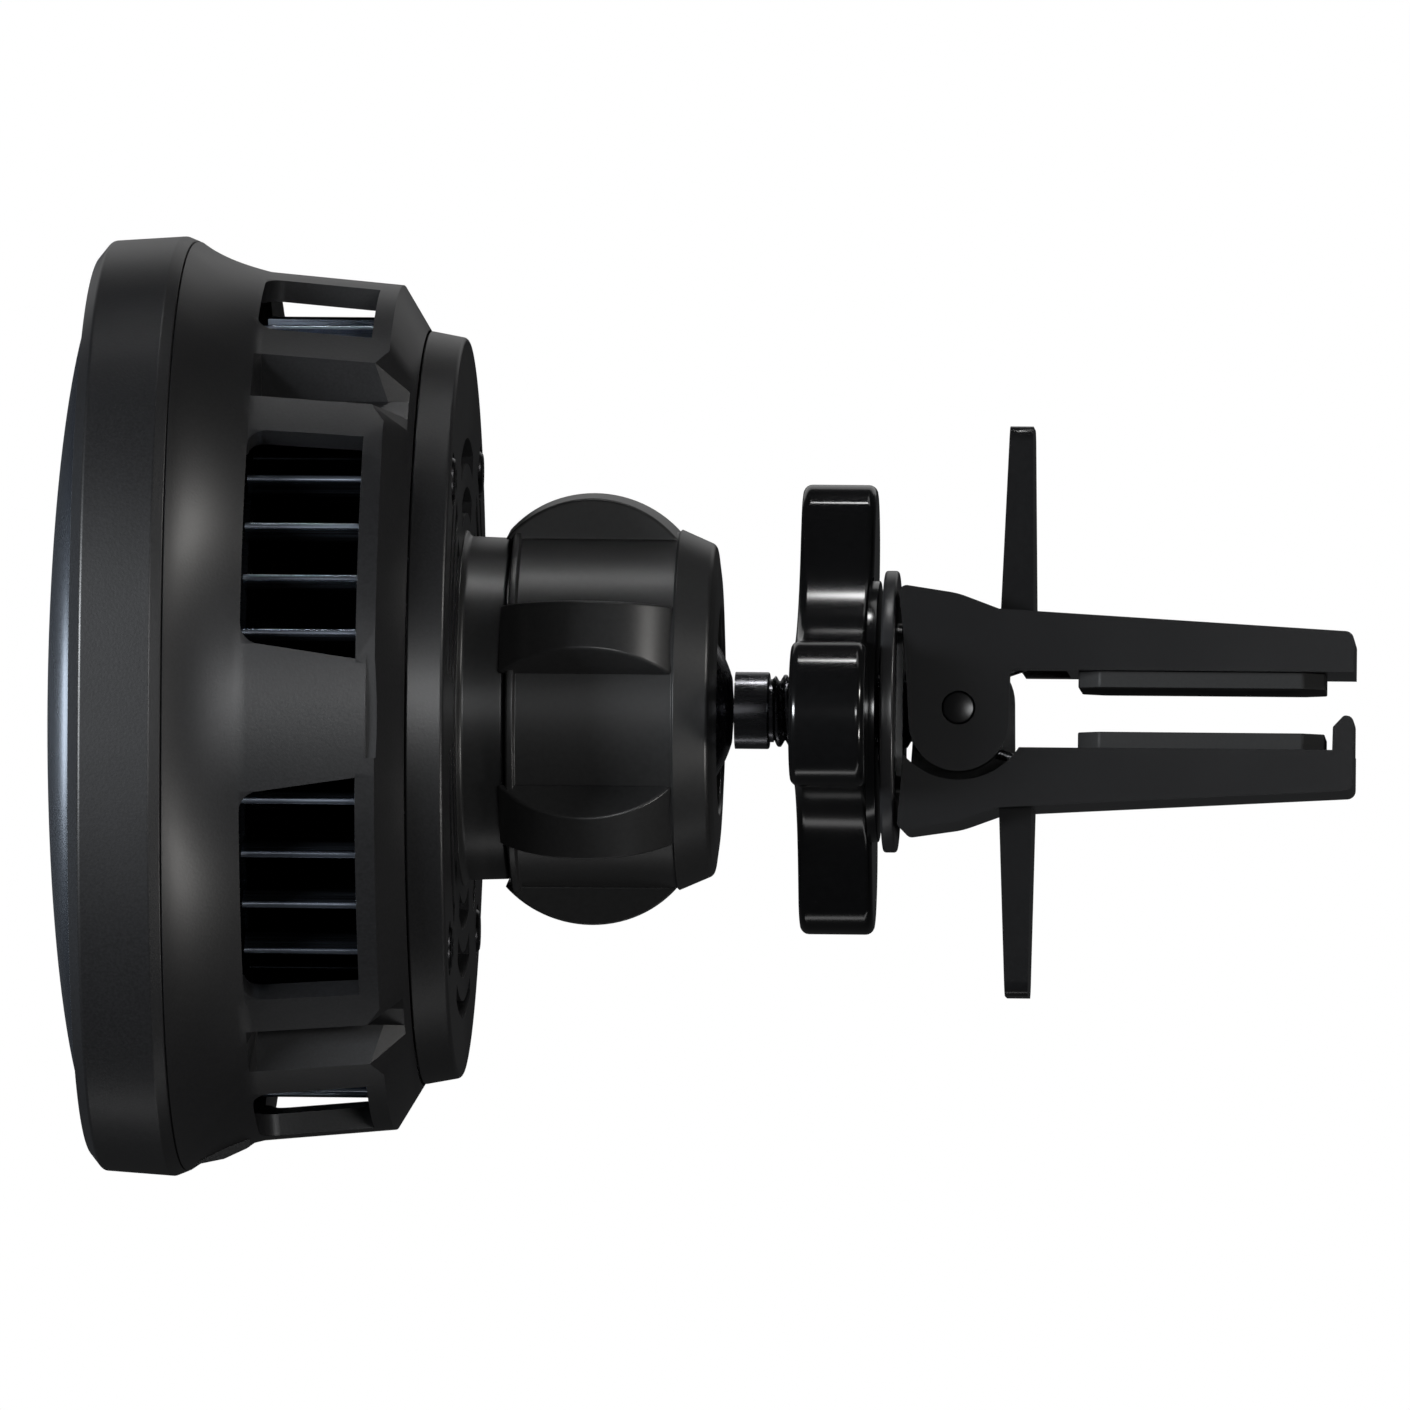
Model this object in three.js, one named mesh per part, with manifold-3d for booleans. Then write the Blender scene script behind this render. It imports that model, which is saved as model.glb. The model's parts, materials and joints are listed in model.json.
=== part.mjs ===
// Fan-cooled magnetic phone mount that clips on the blade of a car's air vent.
// Millimetres, +Z up. The phone face looks to -X and the clip's jaws reach to +X.
// Every piece is drawn from the centre of the ball; the outer group then puts the origin
// between the two rubber pads, where the vent blade is gripped.
import * as THREE from 'three';
import { mergeVertices } from 'three/addons/utils/BufferGeometryUtils.js';
import Module from 'manifold-3d';

const wasm = await Module();
wasm.setup();

// ---------------------------------------------------------------- driving dimensions
const DEG = Math.PI / 180;
const GAP = 0.3;                 // clearance left between neighbouring pieces
const GRIP_X = 41.4;             // vent grip's centre, from the ball's centre
const HEAD_ROLL = 4;             // the head sits turned on its axis, degrees

const BEZEL_R = 32.65;           // half width of the head
const BEZEL_POWER = 2.5;         // superellipse exponent of the bezel's outline
const BEZEL_FRONT = -35.8;
const BEZEL_BACK = -29.4;
const DOME_APEX = -39.0;
const DOME_HEIGHT = 4.0;
const DOME_REACH = 30.3;         // radius at which the dome's curve would stand upright
const PAD_R = 29.6;
const PAD_WALL = 1.1;

const CAGE_FRONT = -23.8;        // the flare ends and the cage begins
const CAGE_BACK = -15.0;
const CAGE_END = -13.4;
const CAGE_R = [30.2, 29.4, 26.3];
const CAGE_WALL = 1.5;
const WINDOW_X = [-24.0, -16.3];
const WINDOW_CORNER = 1.4;
const WINDOW_ARCS = [[9.6, 40.4], [61, 80], [100, 119], [139.6, 170.4]];
const NOTCH_ANGLES = [50.6, 129.4, -50.6, -129.4];
const NOTCH_FLOOR_R = 27.0;
const NOTCH_HALF = [1.0, 2.2];   // half width at the floor and at the mouth
const FLARE = [[-27.2, 31.3], [-25.4, 30.6]];
const BOSS_HALF = 5.9;           // half width of the boss round the charging port
const PORT_X = [-28.65, -25.05];
const PORT_HALF = 4.75;

const COVER_BACK = -10.5;
const COVER_R = [26.3, 25.7];
const COVER_WALL = 1.3;
const INNER_SLOT_R = [13.6, 15.4];
const OUTER_SLOT_R = [17.0, 18.8];
const SLOT_COUNT = 6;
const SLOT_START = 8;
const SLOT_SWEEP = 44;
const COVER_SCREW_R = 22.8;
const COVER_SCREW_ANGLES = [45, 135, 225, 315];
const SOCKET_SCREW_R = 9.6;
const SOCKET_SCREW_ANGLES = [90, 210, 330];
const SCREW_SHANK_R = 0.8;
const SCREW_HEAD_R = 1.6;
const SCREW_HEAD = 0.7;
const SCREW_SINK = 0.8;          // depth of the counterbore in the cover

const FIN_COUNT = 44;
const FIN_R = [15.6, 27.2];
const FIN_X = [-24.3, -16.0];
const FIN_THICK = 0.5;
const BLADE_COUNT = 9;

const BALL_R = 8.5;
const LINER_R = [8.8, 9.6];
const SEAT_R = 9.95;
const SOCKET_R = 11.1;
const COLLAR_R = 11.9;

const NUT_X = [-7.0, 7.45];
const NUT_R = 12.7;
const NUT_BORE_R = 11.4;
const NUT_HOLE_R = 6.75;
const RIB_COUNT = 6;
const RIB_HALF = [2.6, 1.8];     // half width of a rib at its root and at its crest
const RIB_ARC_R = 7.85;
const RIB_ROOT_R = 12.1;
const RIB_APEX = [-1.57, 14.9];
const RIB_START = 20.5;          // first rib's angle above -Y, degrees

const STUD_NECK_R = 2.68;
const STUD_THREAD_R = 2.42;
const KNOB_X = [12.7, 17.9];
const KNOB_LOBES = 3;
const KNOB_START = 183.5;        // first lobe's angle from +Y towards +Z, degrees
const LOBE_CENTRE_R = 12.1;
const LOBE_R = 5.1;
const KNOB_VALLEY_R = 7.5;
const HUB_R = 9.1;
const HUB_END = 18.4;
const INSERT_R = [2.7, 4.2];
const PLATE_X = [18.7, 19.55];
const PLATE_R = 9.8;

const PIN_X = 24.1;
const PIN_R = 1.1;
const JAW_HALF = 7.5;            // half width of a jaw
const CHEEK = 2.4;               // thickness of a jaw's side cheek
const JAW_END = 51.4;
const JAW_FACE_Z = 2.7;          // inner face of a jaw
const MOUTH_X = 27.6;
const RECESS_R = 5.0;
const LOBE_HALF = 3.45;          // half width of a jaw's lobe round the pin
const WING_X = [26.8, 29.1];
const WING_TIP_X = 27.3;
const WING_TIP_Z = 19.8;
const WING_HALF = [5.0, 3.6];
const GRIP_PAD_X = [32.3, 49.4];
const GRIP_PAD_Z = [1.53, 2.4];
const GRIP_PAD_HALF = 6.4;

// ---------------------------------------------------------------- materials
function finish(color, roughness, metalness) {
  return new THREE.MeshStandardMaterial({ color, roughness, metalness });
}

const matteShell = () => finish(0x26272a, 0.62, 0.0);
const glossFace = () => finish(0x14171c, 0.12, 0.0);
const satinBlack = () => finish(0x17181a, 0.42, 0.0);
const glossBlack = () => finish(0x0f1011, 0.2, 0.0);
const blackMetal = () => finish(0x2a2b2d, 0.28, 0.9);
const steel = () => finish(0x9a9da1, 0.3, 1.0);
const gunmetal = () => finish(0x6d7683, 0.34, 1.0);
const rubber = () => finish(0x151515, 0.85, 0.0);
const copper = () => finish(0xa8623a, 0.38, 0.9);
const brass = () => finish(0xb08d4a, 0.35, 1.0);
const ferrite = () => finish(0x3a3c40, 0.6, 0.2);
const magnet = () => finish(0xb4b8bd, 0.28, 1.0);
const board = () => finish(0x14402c, 0.5, 0.0);
const ceramic = () => finish(0xe6e4dd, 0.55, 0.0);
const acetal = () => finish(0xd8d6cf, 0.5, 0.0);

// ---------------------------------------------------------------- solids
function signedVolume(position, index) {
  const a = new THREE.Vector3();
  const b = new THREE.Vector3();
  const c = new THREE.Vector3();
  let sum = 0;
  for (let i = 0; i < index.length; i += 3) {
    a.fromBufferAttribute(position, index[i]);
    b.fromBufferAttribute(position, index[i + 1]);
    c.fromBufferAttribute(position, index[i + 2]);
    sum += a.dot(b.cross(c));
  }
  return sum / 6;
}

// A closed geometry becomes a solid: vertices are shared, collapsed triangles dropped, faces turned out.
function solid(geometry) {
  const bare = geometry.clone();
  bare.deleteAttribute('normal');
  bare.deleteAttribute('uv');
  const merged = mergeVertices(bare, 1e-4);
  const raw = merged.index.array;
  const kept = [];
  for (let i = 0; i < raw.length; i += 3) {
    const [a, b, c] = [raw[i], raw[i + 1], raw[i + 2]];
    if (a !== b && b !== c && c !== a) {
      kept.push(a, b, c);
    }
  }
  if (signedVolume(merged.attributes.position, kept) < 0) {
    kept.reverse();
  }
  return new wasm.Manifold(new wasm.Mesh({
    numProp: 3,
    vertProperties: new Float32Array(merged.attributes.position.array),
    triVerts: new Uint32Array(kept),
  }));
}

function join(...solids) {
  return solids.reduce((sum, next) => sum.add(next));
}

function cut(body, ...tools) {
  return tools.reduce((left, tool) => left.subtract(tool), body);
}

function piece(name, body, material) {
  const mesh = body.getMesh();
  const geometry = new THREE.BufferGeometry();
  geometry.setAttribute('position', new THREE.BufferAttribute(mesh.vertProperties, 3));
  geometry.setIndex(new THREE.BufferAttribute(mesh.triVerts, 1));
  geometry.computeVertexNormals();
  const made = new THREE.Mesh(geometry, material);
  made.name = name;
  return made;
}

// A profile of [x, radius] points turned about the X axis.
function turned(profile, segments) {
  const points = profile.map(([x, r]) => new THREE.Vector2(r, x));
  return new THREE.LatheGeometry(points, segments).rotateZ(-Math.PI / 2);
}

function revolve(profile, segments = 32) {
  return solid(turned(profile, segments));
}

// A ring or tube with a rectangular section; an inner radius of 0 gives a disc.
function ring(x0, x1, inner, outer, segments = 32) {
  const loop = [[x0, inner], [x0, outer], [x1, outer], [x1, inner]];
  return revolve(inner > 0 ? [...loop, loop[0]] : loop, segments);
}

function polygon(points) {
  return new THREE.Shape(points.map(([a, b]) => new THREE.Vector2(a, b)));
}

function extrude(shape, depth, xAxis, yAxis, zAxis, curveSegments) {
  const settings = { depth, bevelEnabled: false, curveSegments };
  const basis = new THREE.Matrix4().makeBasis(xAxis, yAxis, zAxis);
  return new THREE.ExtrudeGeometry(shape, settings).applyMatrix4(basis);
}

const AXIS_X = new THREE.Vector3(1, 0, 0);
const AXIS_Y = new THREE.Vector3(0, 1, 0);
const AXIS_Z = new THREE.Vector3(0, 0, 1);
const MINUS_Y = new THREE.Vector3(0, -1, 0);

// A shape drawn in (Y, Z), extruded from x0 to x1.
function alongX(shape, x0, x1, curveSegments = 6) {
  return extrude(shape, x1 - x0, AXIS_Y, AXIS_Z, AXIS_X, curveSegments).translate(x0, 0, 0);
}

// A shape drawn in (X, Z), extruded from y0 to y1.
function alongY(shape, y0, y1, curveSegments = 6) {
  return extrude(shape, y1 - y0, AXIS_X, AXIS_Z, MINUS_Y, curveSegments).translate(0, y1, 0);
}

// A shape drawn in (X, Y), extruded from z0 to z1.
function alongZ(shape, z0, z1, curveSegments = 6) {
  return extrude(shape, z1 - z0, AXIS_X, AXIS_Y, AXIS_Z, curveSegments).translate(0, 0, z0);
}

function box(x0, x1, y0, y1, z0, z1) {
  const shape = new THREE.BoxGeometry(x1 - x0, y1 - y0, z1 - z0);
  return shape.translate((x0 + x1) / 2, (y0 + y1) / 2, (z0 + z1) / 2);
}

// What is drawn standing on +Z turns about X to an angle counted from -Y upwards, in degrees.
function toAngle(geometry, angle) {
  return geometry.clone().rotateX((90 - angle) * DEG);
}

function atAngles(geometry, angles) {
  return angles.map((angle) => solid(toAngle(geometry, angle)));
}

function spaced(count, start = 0) {
  return Array.from({ length: count }, (_, i) => start + (i * 360) / count);
}

function roundedRect(x0, x1, y0, y1, r) {
  const shape = new THREE.Shape();
  shape.moveTo(x0 + r, y0);
  shape.lineTo(x1 - r, y0);
  shape.absarc(x1 - r, y0 + r, r, -Math.PI / 2, 0);
  shape.lineTo(x1, y1 - r);
  shape.absarc(x1 - r, y1 - r, r, 0, Math.PI / 2);
  shape.lineTo(x0 + r, y1);
  shape.absarc(x0 + r, y1 - r, r, Math.PI / 2, Math.PI);
  shape.lineTo(x0, y0 + r);
  shape.absarc(x0 + r, y0 + r, r, Math.PI, 1.5 * Math.PI);
  return shape;
}

// ---------------------------------------------------------------- head: shells
function domeX(radius) {
  return DOME_APEX + DOME_HEIGHT * (1 - Math.sqrt(1 - (radius / DOME_REACH) ** 2));
}

function domeArc(outerR, steps, offset) {
  return Array.from({ length: steps + 1 }, (_, i) => {
    const r = outerR * Math.sin(((i / steps) * Math.PI) / 2);
    return [domeX(r) + offset, r];
  });
}

function frontPad() {
  const outside = domeArc(PAD_R, 6, 0);
  const inside = domeArc(PAD_R - 1.8, 4, PAD_WALL).reverse();
  const rimBack = BEZEL_FRONT + 1.1;
  return revolve([...outside, [rimBack, PAD_R], [rimBack, PAD_R - 1.3], ...inside], 36);
}

// The bezel's outline is a superellipse; behind it the outline eases back to a circle.
function squared(geometry) {
  const position = geometry.attributes.position;
  for (let i = 0; i < position.count; i += 1) {
    const [x, y, z] = [position.getX(i), position.getY(i), position.getZ(i)];
    const ease = THREE.MathUtils.smoothstep(-x, -CAGE_FRONT, -BEZEL_BACK);
    const edge = THREE.MathUtils.smoothstep(Math.hypot(y, z), PAD_R, BEZEL_R - 1.6);
    const power = THREE.MathUtils.lerp(2, BEZEL_POWER, ease * edge);
    const angle = Math.atan2(z, y);
    const sum = Math.abs(Math.cos(angle)) ** power + Math.abs(Math.sin(angle)) ** power;
    const scale = sum ** (-1 / power);
    position.setXYZ(i, x, y * scale, z * scale);
  }
  return geometry;
}

function frontHousing() {
  const outside = [
    [BEZEL_FRONT, PAD_R + GAP],
    [BEZEL_FRONT, 31.4],
    [-35.0, 32.45],
    [-30.2, BEZEL_R],
    [BEZEL_BACK, 32.4],
  ];
  const inside = [
    [BEZEL_BACK, 31.0],
    [-33.2, 31.0],
    [-33.2, 27.7],
    [-34.4, 27.7],
    [-34.4, PAD_R + GAP],
  ];
  return solid(squared(turned([...outside, ...inside, outside[0]], 44)));
}

function windowCutters() {
  const mid = (CAGE_R[0] + CAGE_R[1]) / 2 - CAGE_WALL / 2;
  return WINDOW_ARCS.flatMap(([from, to]) => {
    const half = mid * Math.sin(((to - from) / 2) * DEG);
    const shape = roundedRect(WINDOW_X[0], WINDOW_X[1] + WINDOW_CORNER, -half, half, WINDOW_CORNER);
    const straightEnd = box(WINDOW_X[1], WINDOW_X[1] + 2 * WINDOW_CORNER, -half - 1, half + 1, 20, 40);
    const opening = cut(solid(alongZ(shape, NOTCH_FLOOR_R - 2, 34, 3)), solid(straightEnd));
    const angle = (from + to) / 2;
    return [angle, -angle].map((a) => opening.rotate([90 - a, 0, 0]));
  });
}

// A wedge-shaped channel along X, standing on +Z.
function channel(x0, x1, floorR, halfFloor, halfTop) {
  const top = 34;
  const section = [[-halfFloor, floorR], [halfFloor, floorR], [halfTop, top], [-halfTop, top]];
  return alongX(polygon(section), x0, x1);
}

function rearHousing() {
  const front = BEZEL_BACK + GAP;
  const shell = [
    [front, 32.2],
    ...FLARE,
    [CAGE_FRONT, CAGE_R[0]],
    [CAGE_BACK, CAGE_R[1]],
    [CAGE_END, CAGE_R[2]],
  ];
  const core = [
    [CAGE_END, CAGE_R[2] - CAGE_WALL],
    [CAGE_BACK - 0.6, CAGE_R[1] - CAGE_WALL],
    [CAGE_FRONT, CAGE_R[0] - CAGE_WALL],
    [FLARE[0][0], FLARE[0][1] - CAGE_WALL],
    [front, 32.2 - CAGE_WALL],
  ];
  const blank = solid(squared(turned([[front, 0], ...shell, [CAGE_END, 0]], 44)));
  const behind = [[CAGE_END + 1, 0], [CAGE_END + 1, core[0][1]]];
  const before = [[front - 1, core[4][1]], [front - 1, 0]];
  const hollow = revolve([...behind, ...core, ...before], 44);
  const [inHalf, outHalf] = NOTCH_HALF;
  const wallInside = channel(-24.2, CAGE_END + 1, NOTCH_FLOOR_R - CAGE_WALL, inHalf + 1.1, outHalf + 1.9);
  const notch = channel(-23.4, CAGE_END + 1, NOTCH_FLOOR_R, ...NOTCH_HALF);
  const cavity = cut(hollow, ...atAngles(wallInside, NOTCH_ANGLES));
  const bossSide = polygon([[front, -29.6], [front, -32.0], [-26.8, -31.4], [-24.7, -30.4], [-24.7, -29.6]]);
  const boss = solid(alongY(bossSide, -BOSS_HALF, BOSS_HALF));
  const port = solid(alongZ(roundedRect(...PORT_X, -PORT_HALF, PORT_HALF, 1.5), -34, -26, 4));
  const shellSolid = cut(blank, ...atAngles(notch, NOTCH_ANGLES));
  return cut(cut(join(shellSolid, boss), cavity), port, ...windowCutters());
}

function arcSlot(inner, outer, from, to) {
  const shape = new THREE.Shape();
  shape.absarc(0, 0, outer, from * DEG, to * DEG, false);
  shape.absarc(0, 0, inner, to * DEG, from * DEG, true);
  return solid(alongX(shape, COVER_BACK - 2 * COVER_WALL, COVER_BACK + 1, 3));
}

function rearCover() {
  const front = CAGE_END + GAP;
  const plate = COVER_BACK - COVER_WALL;
  const [frontR, backR] = COVER_R;
  const shell = [
    [front, frontR],
    [COVER_BACK - 0.4, backR + 0.1],
    [COVER_BACK, backR - 0.3],
    [COVER_BACK, 0],
  ];
  const inside = [[plate, 0], [plate, backR - COVER_WALL], [front, frontR - COVER_WALL], [front, frontR]];
  const cup = revolve([...shell, ...inside], 40);
  const slots = spaced(SLOT_COUNT, SLOT_START).flatMap((a) => [
    arcSlot(...INNER_SLOT_R, a, a + SLOT_SWEEP),
    arcSlot(...OUTER_SLOT_R, a, a + SLOT_SWEEP),
  ]);
  const through = [plate - 1, COVER_BACK + 1];
  const coverHoles = COVER_SCREW_ANGLES.map((a) => screwHole(a, COVER_SCREW_R, ...through));
  const socketHoles = SOCKET_SCREW_ANGLES.map((a) => screwHole(a, SOCKET_SCREW_R, ...through));
  const sink = turned([[COVER_BACK - SCREW_SINK, 0], [COVER_BACK - SCREW_SINK, SCREW_HEAD_R + GAP],
    [COVER_BACK + 1, SCREW_HEAD_R + GAP], [COVER_BACK + 1, 0]], 12).translate(0, 0, COVER_SCREW_R);
  return cut(cup, ...slots, ...coverHoles, ...socketHoles, ...atAngles(sink, COVER_SCREW_ANGLES));
}

// ---------------------------------------------------------------- head: screws
function screwHole(angle, radius, x0, x1) {
  const drill = turned([[x0, 0], [x0, SCREW_SHANK_R + GAP], [x1, SCREW_SHANK_R + GAP], [x1, 0]], 10);
  return solid(toAngle(drill.translate(0, 0, radius), angle));
}

// headX is the outer end of the head; the shank runs from the head's seat towards tipX.
function screw(angle, radius, headX, tipX) {
  const side = Math.sign(tipX - headX);
  const seat = headX + side * SCREW_HEAD;
  const profile = [[headX, 0], [headX, 1.1], [headX + side * 0.35, SCREW_HEAD_R], [seat, SCREW_HEAD_R],
    [seat, SCREW_SHANK_R], [tipX, SCREW_SHANK_R], [tipX, 0]];
  return solid(toAngle(turned(profile, 12).translate(0, 0, radius), angle));
}

// ---------------------------------------------------------------- head: inside
function carrierTray() {
  return revolve([[-34.0, 0], [-34.0, 21.4], [-32.9, 21.4], [-32.9, 30.6], [-31.9, 30.6], [-31.9, 0]], 36);
}

function usbSocket() {
  const outside = alongZ(roundedRect(-28.4, -25.3, -4.45, 4.45, 1.3), -30.3, -24.4, 4);
  const inside = alongZ(roundedRect(-28.1, -25.6, -4.15, 4.15, 1.1), -32, -25.2, 4);
  const tongue = box(-27.2, -26.5, -3.3, 3.3, -29.6, -24.8);
  return join(cut(solid(outside), solid(inside)), solid(tongue));
}

function heatSink() {
  const base = ring(-24.9, FIN_X[0] + 0.3, 0, 26.9, 44);
  const boss = ring(-27.0, -24.6, 0, 14.4, 32);
  const fin = box(FIN_X[0], FIN_X[1], -FIN_THICK / 2, FIN_THICK / 2, FIN_R[0], FIN_R[1]);
  const fins = atAngles(fin, spaced(FIN_COUNT, 180 / FIN_COUNT));
  const [inHalf, outHalf] = NOTCH_HALF;
  const relief = channel(-25.0, -15.0, NOTCH_FLOOR_R - CAGE_WALL - GAP, inHalf + 1.5, outHalf + 2.4);
  return cut(join(base, boss, ...fins), ...atAngles(relief, NOTCH_ANGLES));
}

function fanRotor() {
  const hub = revolve([[-23.6, 0], [-23.6, 7.2], [-22.6, 8.2], [-16.2, 8.2], [-16.2, 7.3],
    [-22.5, 7.3], [-22.5, SCREW_SHANK_R], [-16.8, SCREW_SHANK_R], [-16.8, 0]], 28);
  const blade = new THREE.BoxGeometry(6.6, 0.6, 6.8).rotateZ(35 * DEG).translate(-19.6, 0, 11.2);
  return join(hub, ...atAngles(blade, spaced(BLADE_COUNT)));
}

function fanStator() {
  const core = ring(-21.2, -16.3, 2.3, 3.2, 18);
  const pole = box(-20.6, -16.9, -0.7, 0.7, 2.7, 5.2);
  const shoe = box(-21.0, -16.5, -2.0, 2.0, 4.9, 5.6);
  return join(core, ...atAngles(pole, spaced(6)), ...atAngles(shoe, spaced(6)));
}

function fanFrame() {
  const hub = ring(-15.6, -14.4, 0, 7.4, 24);
  const rim = ring(-15.6, -14.4, 20.4, 24.6, 40);
  const arm = box(-15.6, -14.4, -1.1, 1.1, 6.5, 21.0);
  const holes = COVER_SCREW_ANGLES.map((a) => screwHole(a, COVER_SCREW_R, -16.5, -13.5));
  return cut(join(hub, rim, ...atAngles(arm, spaced(3, 90))), ...holes);
}

// ---------------------------------------------------------------- ball joint
function sphereArc(radius, fromPolar, toPolar, steps) {
  return Array.from({ length: steps + 1 }, (_, i) => {
    const polar = THREE.MathUtils.lerp(fromPolar, toPolar, i / steps) * DEG;
    return [radius * Math.cos(polar), Math.max(0, radius * Math.sin(polar))];
  });
}

function ballSocket() {
  const base = COVER_BACK + GAP;
  const collarEnd = NUT_X[0] - GAP;
  const mouth = 3.1;
  const floor = -BALL_R - GAP;
  const floorPolar = Math.acos(floor / SEAT_R) / DEG;
  const seat = sphereArc(SEAT_R, 90, floorPolar, 4);
  const profile = [[base, 0], [base, COLLAR_R], [collarEnd, COLLAR_R], [collarEnd, SOCKET_R],
    [mouth, SOCKET_R], [mouth, SEAT_R], ...seat, [floor, 0]];
  const slit = box(-3.5, mouth + 1, -0.6, 0.6, 8, 14);
  const holes = SOCKET_SCREW_ANGLES.map((a) => screwHole(a, SOCKET_SCREW_R, base - 1, -7.6));
  return cut(revolve(profile, 28), ...atAngles(slit, spaced(4, 45)), ...holes);
}

function socketLiner() {
  const outside = sphereArc(LINER_R[1], 50, 125, 4);
  const inside = sphereArc(LINER_R[0], 125, 50, 4);
  return revolve([...outside, ...inside, outside[0]], 20);
}

function ball() {
  const flatPolar = Math.acos((BALL_R - 0.4) / BALL_R) / DEG;
  return revolve([[BALL_R - 0.4, 0], ...sphereArc(BALL_R, flatPolar, 180, 8)], 24);
}

function lockNut() {
  const seatPolar = Math.asin(NUT_HOLE_R / 10) / DEG;
  const body = [[NUT_X[0], NUT_BORE_R], [NUT_X[0], NUT_R], [4.3, NUT_R - 0.2], [6.8, 11.5], [7.25, 10.2],
    [NUT_X[1], NUT_HOLE_R + 0.3], ...sphereArc(10, seatPolar, 70, 3), [3.42, NUT_BORE_R],
    [NUT_X[0], NUT_BORE_R]];
  const centreR = RIB_APEX[1] - RIB_ARC_R;
  const reach = Math.acos((RIB_ROOT_R - centreR) / RIB_ARC_R);
  const segment = new THREE.Shape();
  segment.absarc(RIB_APEX[0], centreR, RIB_ARC_R, Math.PI / 2 - reach, Math.PI / 2 + reach, false);
  const [rootHalf, crestHalf] = RIB_HALF;
  const taper = alongX(polygon([[-rootHalf, RIB_ROOT_R - 1], [rootHalf, RIB_ROOT_R - 1],
    [crestHalf, RIB_APEX[1] + 0.1], [-crestHalf, RIB_APEX[1] + 0.1]]), ...NUT_X);
  const rib = solid(alongY(segment, -rootHalf, rootHalf, 8)).intersect(solid(taper));
  const ribs = spaced(RIB_COUNT, RIB_START).map((angle) => rib.rotate([90 - angle, 0, 0]));
  return join(revolve(body, 30), ...ribs);
}

// ---------------------------------------------------------------- stud, knob and plate
function threadedStud() {
  const rodEnd = PIN_X - 2.2;
  const rod = revolve([[BALL_R - 0.1, 0], [BALL_R - 0.1, STUD_NECK_R], [10.5, STUD_NECK_R], [10.7, 2.4],
    [10.7, 2.1], [11.3, 2.1], [11.6, STUD_THREAD_R], [rodEnd, STUD_THREAD_R], [rodEnd, 0]], 16);
  const eye = new THREE.Shape();
  eye.absarc(PIN_X, 0, 2.9, 0, 2 * Math.PI);
  const tab = solid(alongY(eye, -1.7, 1.7, 8));
  const hole = new THREE.Shape();
  hole.absarc(PIN_X, 0, PIN_R + GAP, 0, 2 * Math.PI);
  return cut(join(rod, tab), solid(alongY(hole, -3, 3, 7)));
}

function clampKnob() {
  const shape = new THREE.Shape();
  const toValley = 180 / KNOB_LOBES;
  const side = LOBE_CENTRE_R * Math.sin(toValley * DEG);
  const drop = LOBE_CENTRE_R * Math.cos(toValley * DEG);
  // The valley's arc is centred on the valley's direction and touches both neighbouring lobes.
  const valleyCentre = (side ** 2 + drop ** 2 - (LOBE_R - KNOB_VALLEY_R) ** 2)
    / (2 * (drop + LOBE_R - KNOB_VALLEY_R));
  const valleyR = valleyCentre - KNOB_VALLEY_R;
  const meet = Math.atan2(side, valleyCentre - drop);
  for (let i = 0; i < KNOB_LOBES; i += 1) {
    const lobe = (KNOB_START + (i * 360) / KNOB_LOBES) * DEG;
    const valley = lobe + toValley * DEG;
    const lobeSweep = Math.PI - meet - toValley * DEG;
    shape.absarc(LOBE_CENTRE_R * Math.cos(lobe), LOBE_CENTRE_R * Math.sin(lobe), LOBE_R,
      lobe - lobeSweep, lobe + lobeSweep, false);
    shape.absarc(valleyCentre * Math.cos(valley), valleyCentre * Math.sin(valley), valleyR,
      valley + Math.PI + meet, valley + Math.PI - meet, true);
  }
  const lobes = solid(alongX(shape, KNOB_X[0], KNOB_X[1], 8));
  const hub = ring(KNOB_X[1] - 1, HUB_END, 0, HUB_R, 32);
  return cut(join(lobes, hub), ring(KNOB_X[0] - 1, HUB_END + 1, 0, INSERT_R[1] + GAP, 20));
}

function pressurePlate() {
  const [x0, x1] = PLATE_X;
  const chamfer = 0.2;
  const hole = STUD_THREAD_R + GAP + 0.1;
  return revolve([[x0, hole], [x0, PLATE_R - chamfer], [x0 + chamfer, PLATE_R], [x1 - chamfer, PLATE_R],
    [x1, PLATE_R - chamfer], [x1, hole], [x0, hole]], 28);
}

// ---------------------------------------------------------------- clip
// A closed wire path: the legs reach under both jaws and the coil winds round the pin beside the eye.
class SpringPath extends THREE.Curve {
  getPoint(t) {
    const turns = 2.5;
    const mean = 2.0;
    const [y0, y1] = [2.3, 4.4];
    const leg = 0.2;
    const legEnd = PIN_X + 5.2;
    const turnPart = THREE.MathUtils.clamp((t - leg) / (1 - 2 * leg), 0, 1);
    const angle = Math.PI / 2 - turnPart * turns * 2 * Math.PI;
    const onCoil = new THREE.Vector3(PIN_X + mean * Math.cos(angle),
      THREE.MathUtils.lerp(y0, y1, turnPart), mean * Math.sin(angle));
    if (t < leg) {
      return onCoil.lerp(new THREE.Vector3(legEnd, y0, 3.6), 1 - t / leg);
    }
    if (t > 1 - leg) {
      return onCoil.lerp(new THREE.Vector3(legEnd, y1, -3.6), 1 - (1 - t) / leg);
    }
    return onCoil;
  }
}

function torsionSpring() {
  const wire = new THREE.Shape();
  wire.absarc(0, 0, 0.3, 0, 2 * Math.PI);
  const settings = { steps: 34, extrudePath: new SpringPath(), bevelEnabled: false, curveSegments: 3 };
  return solid(new THREE.ExtrudeGeometry(wire, settings));
}

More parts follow.
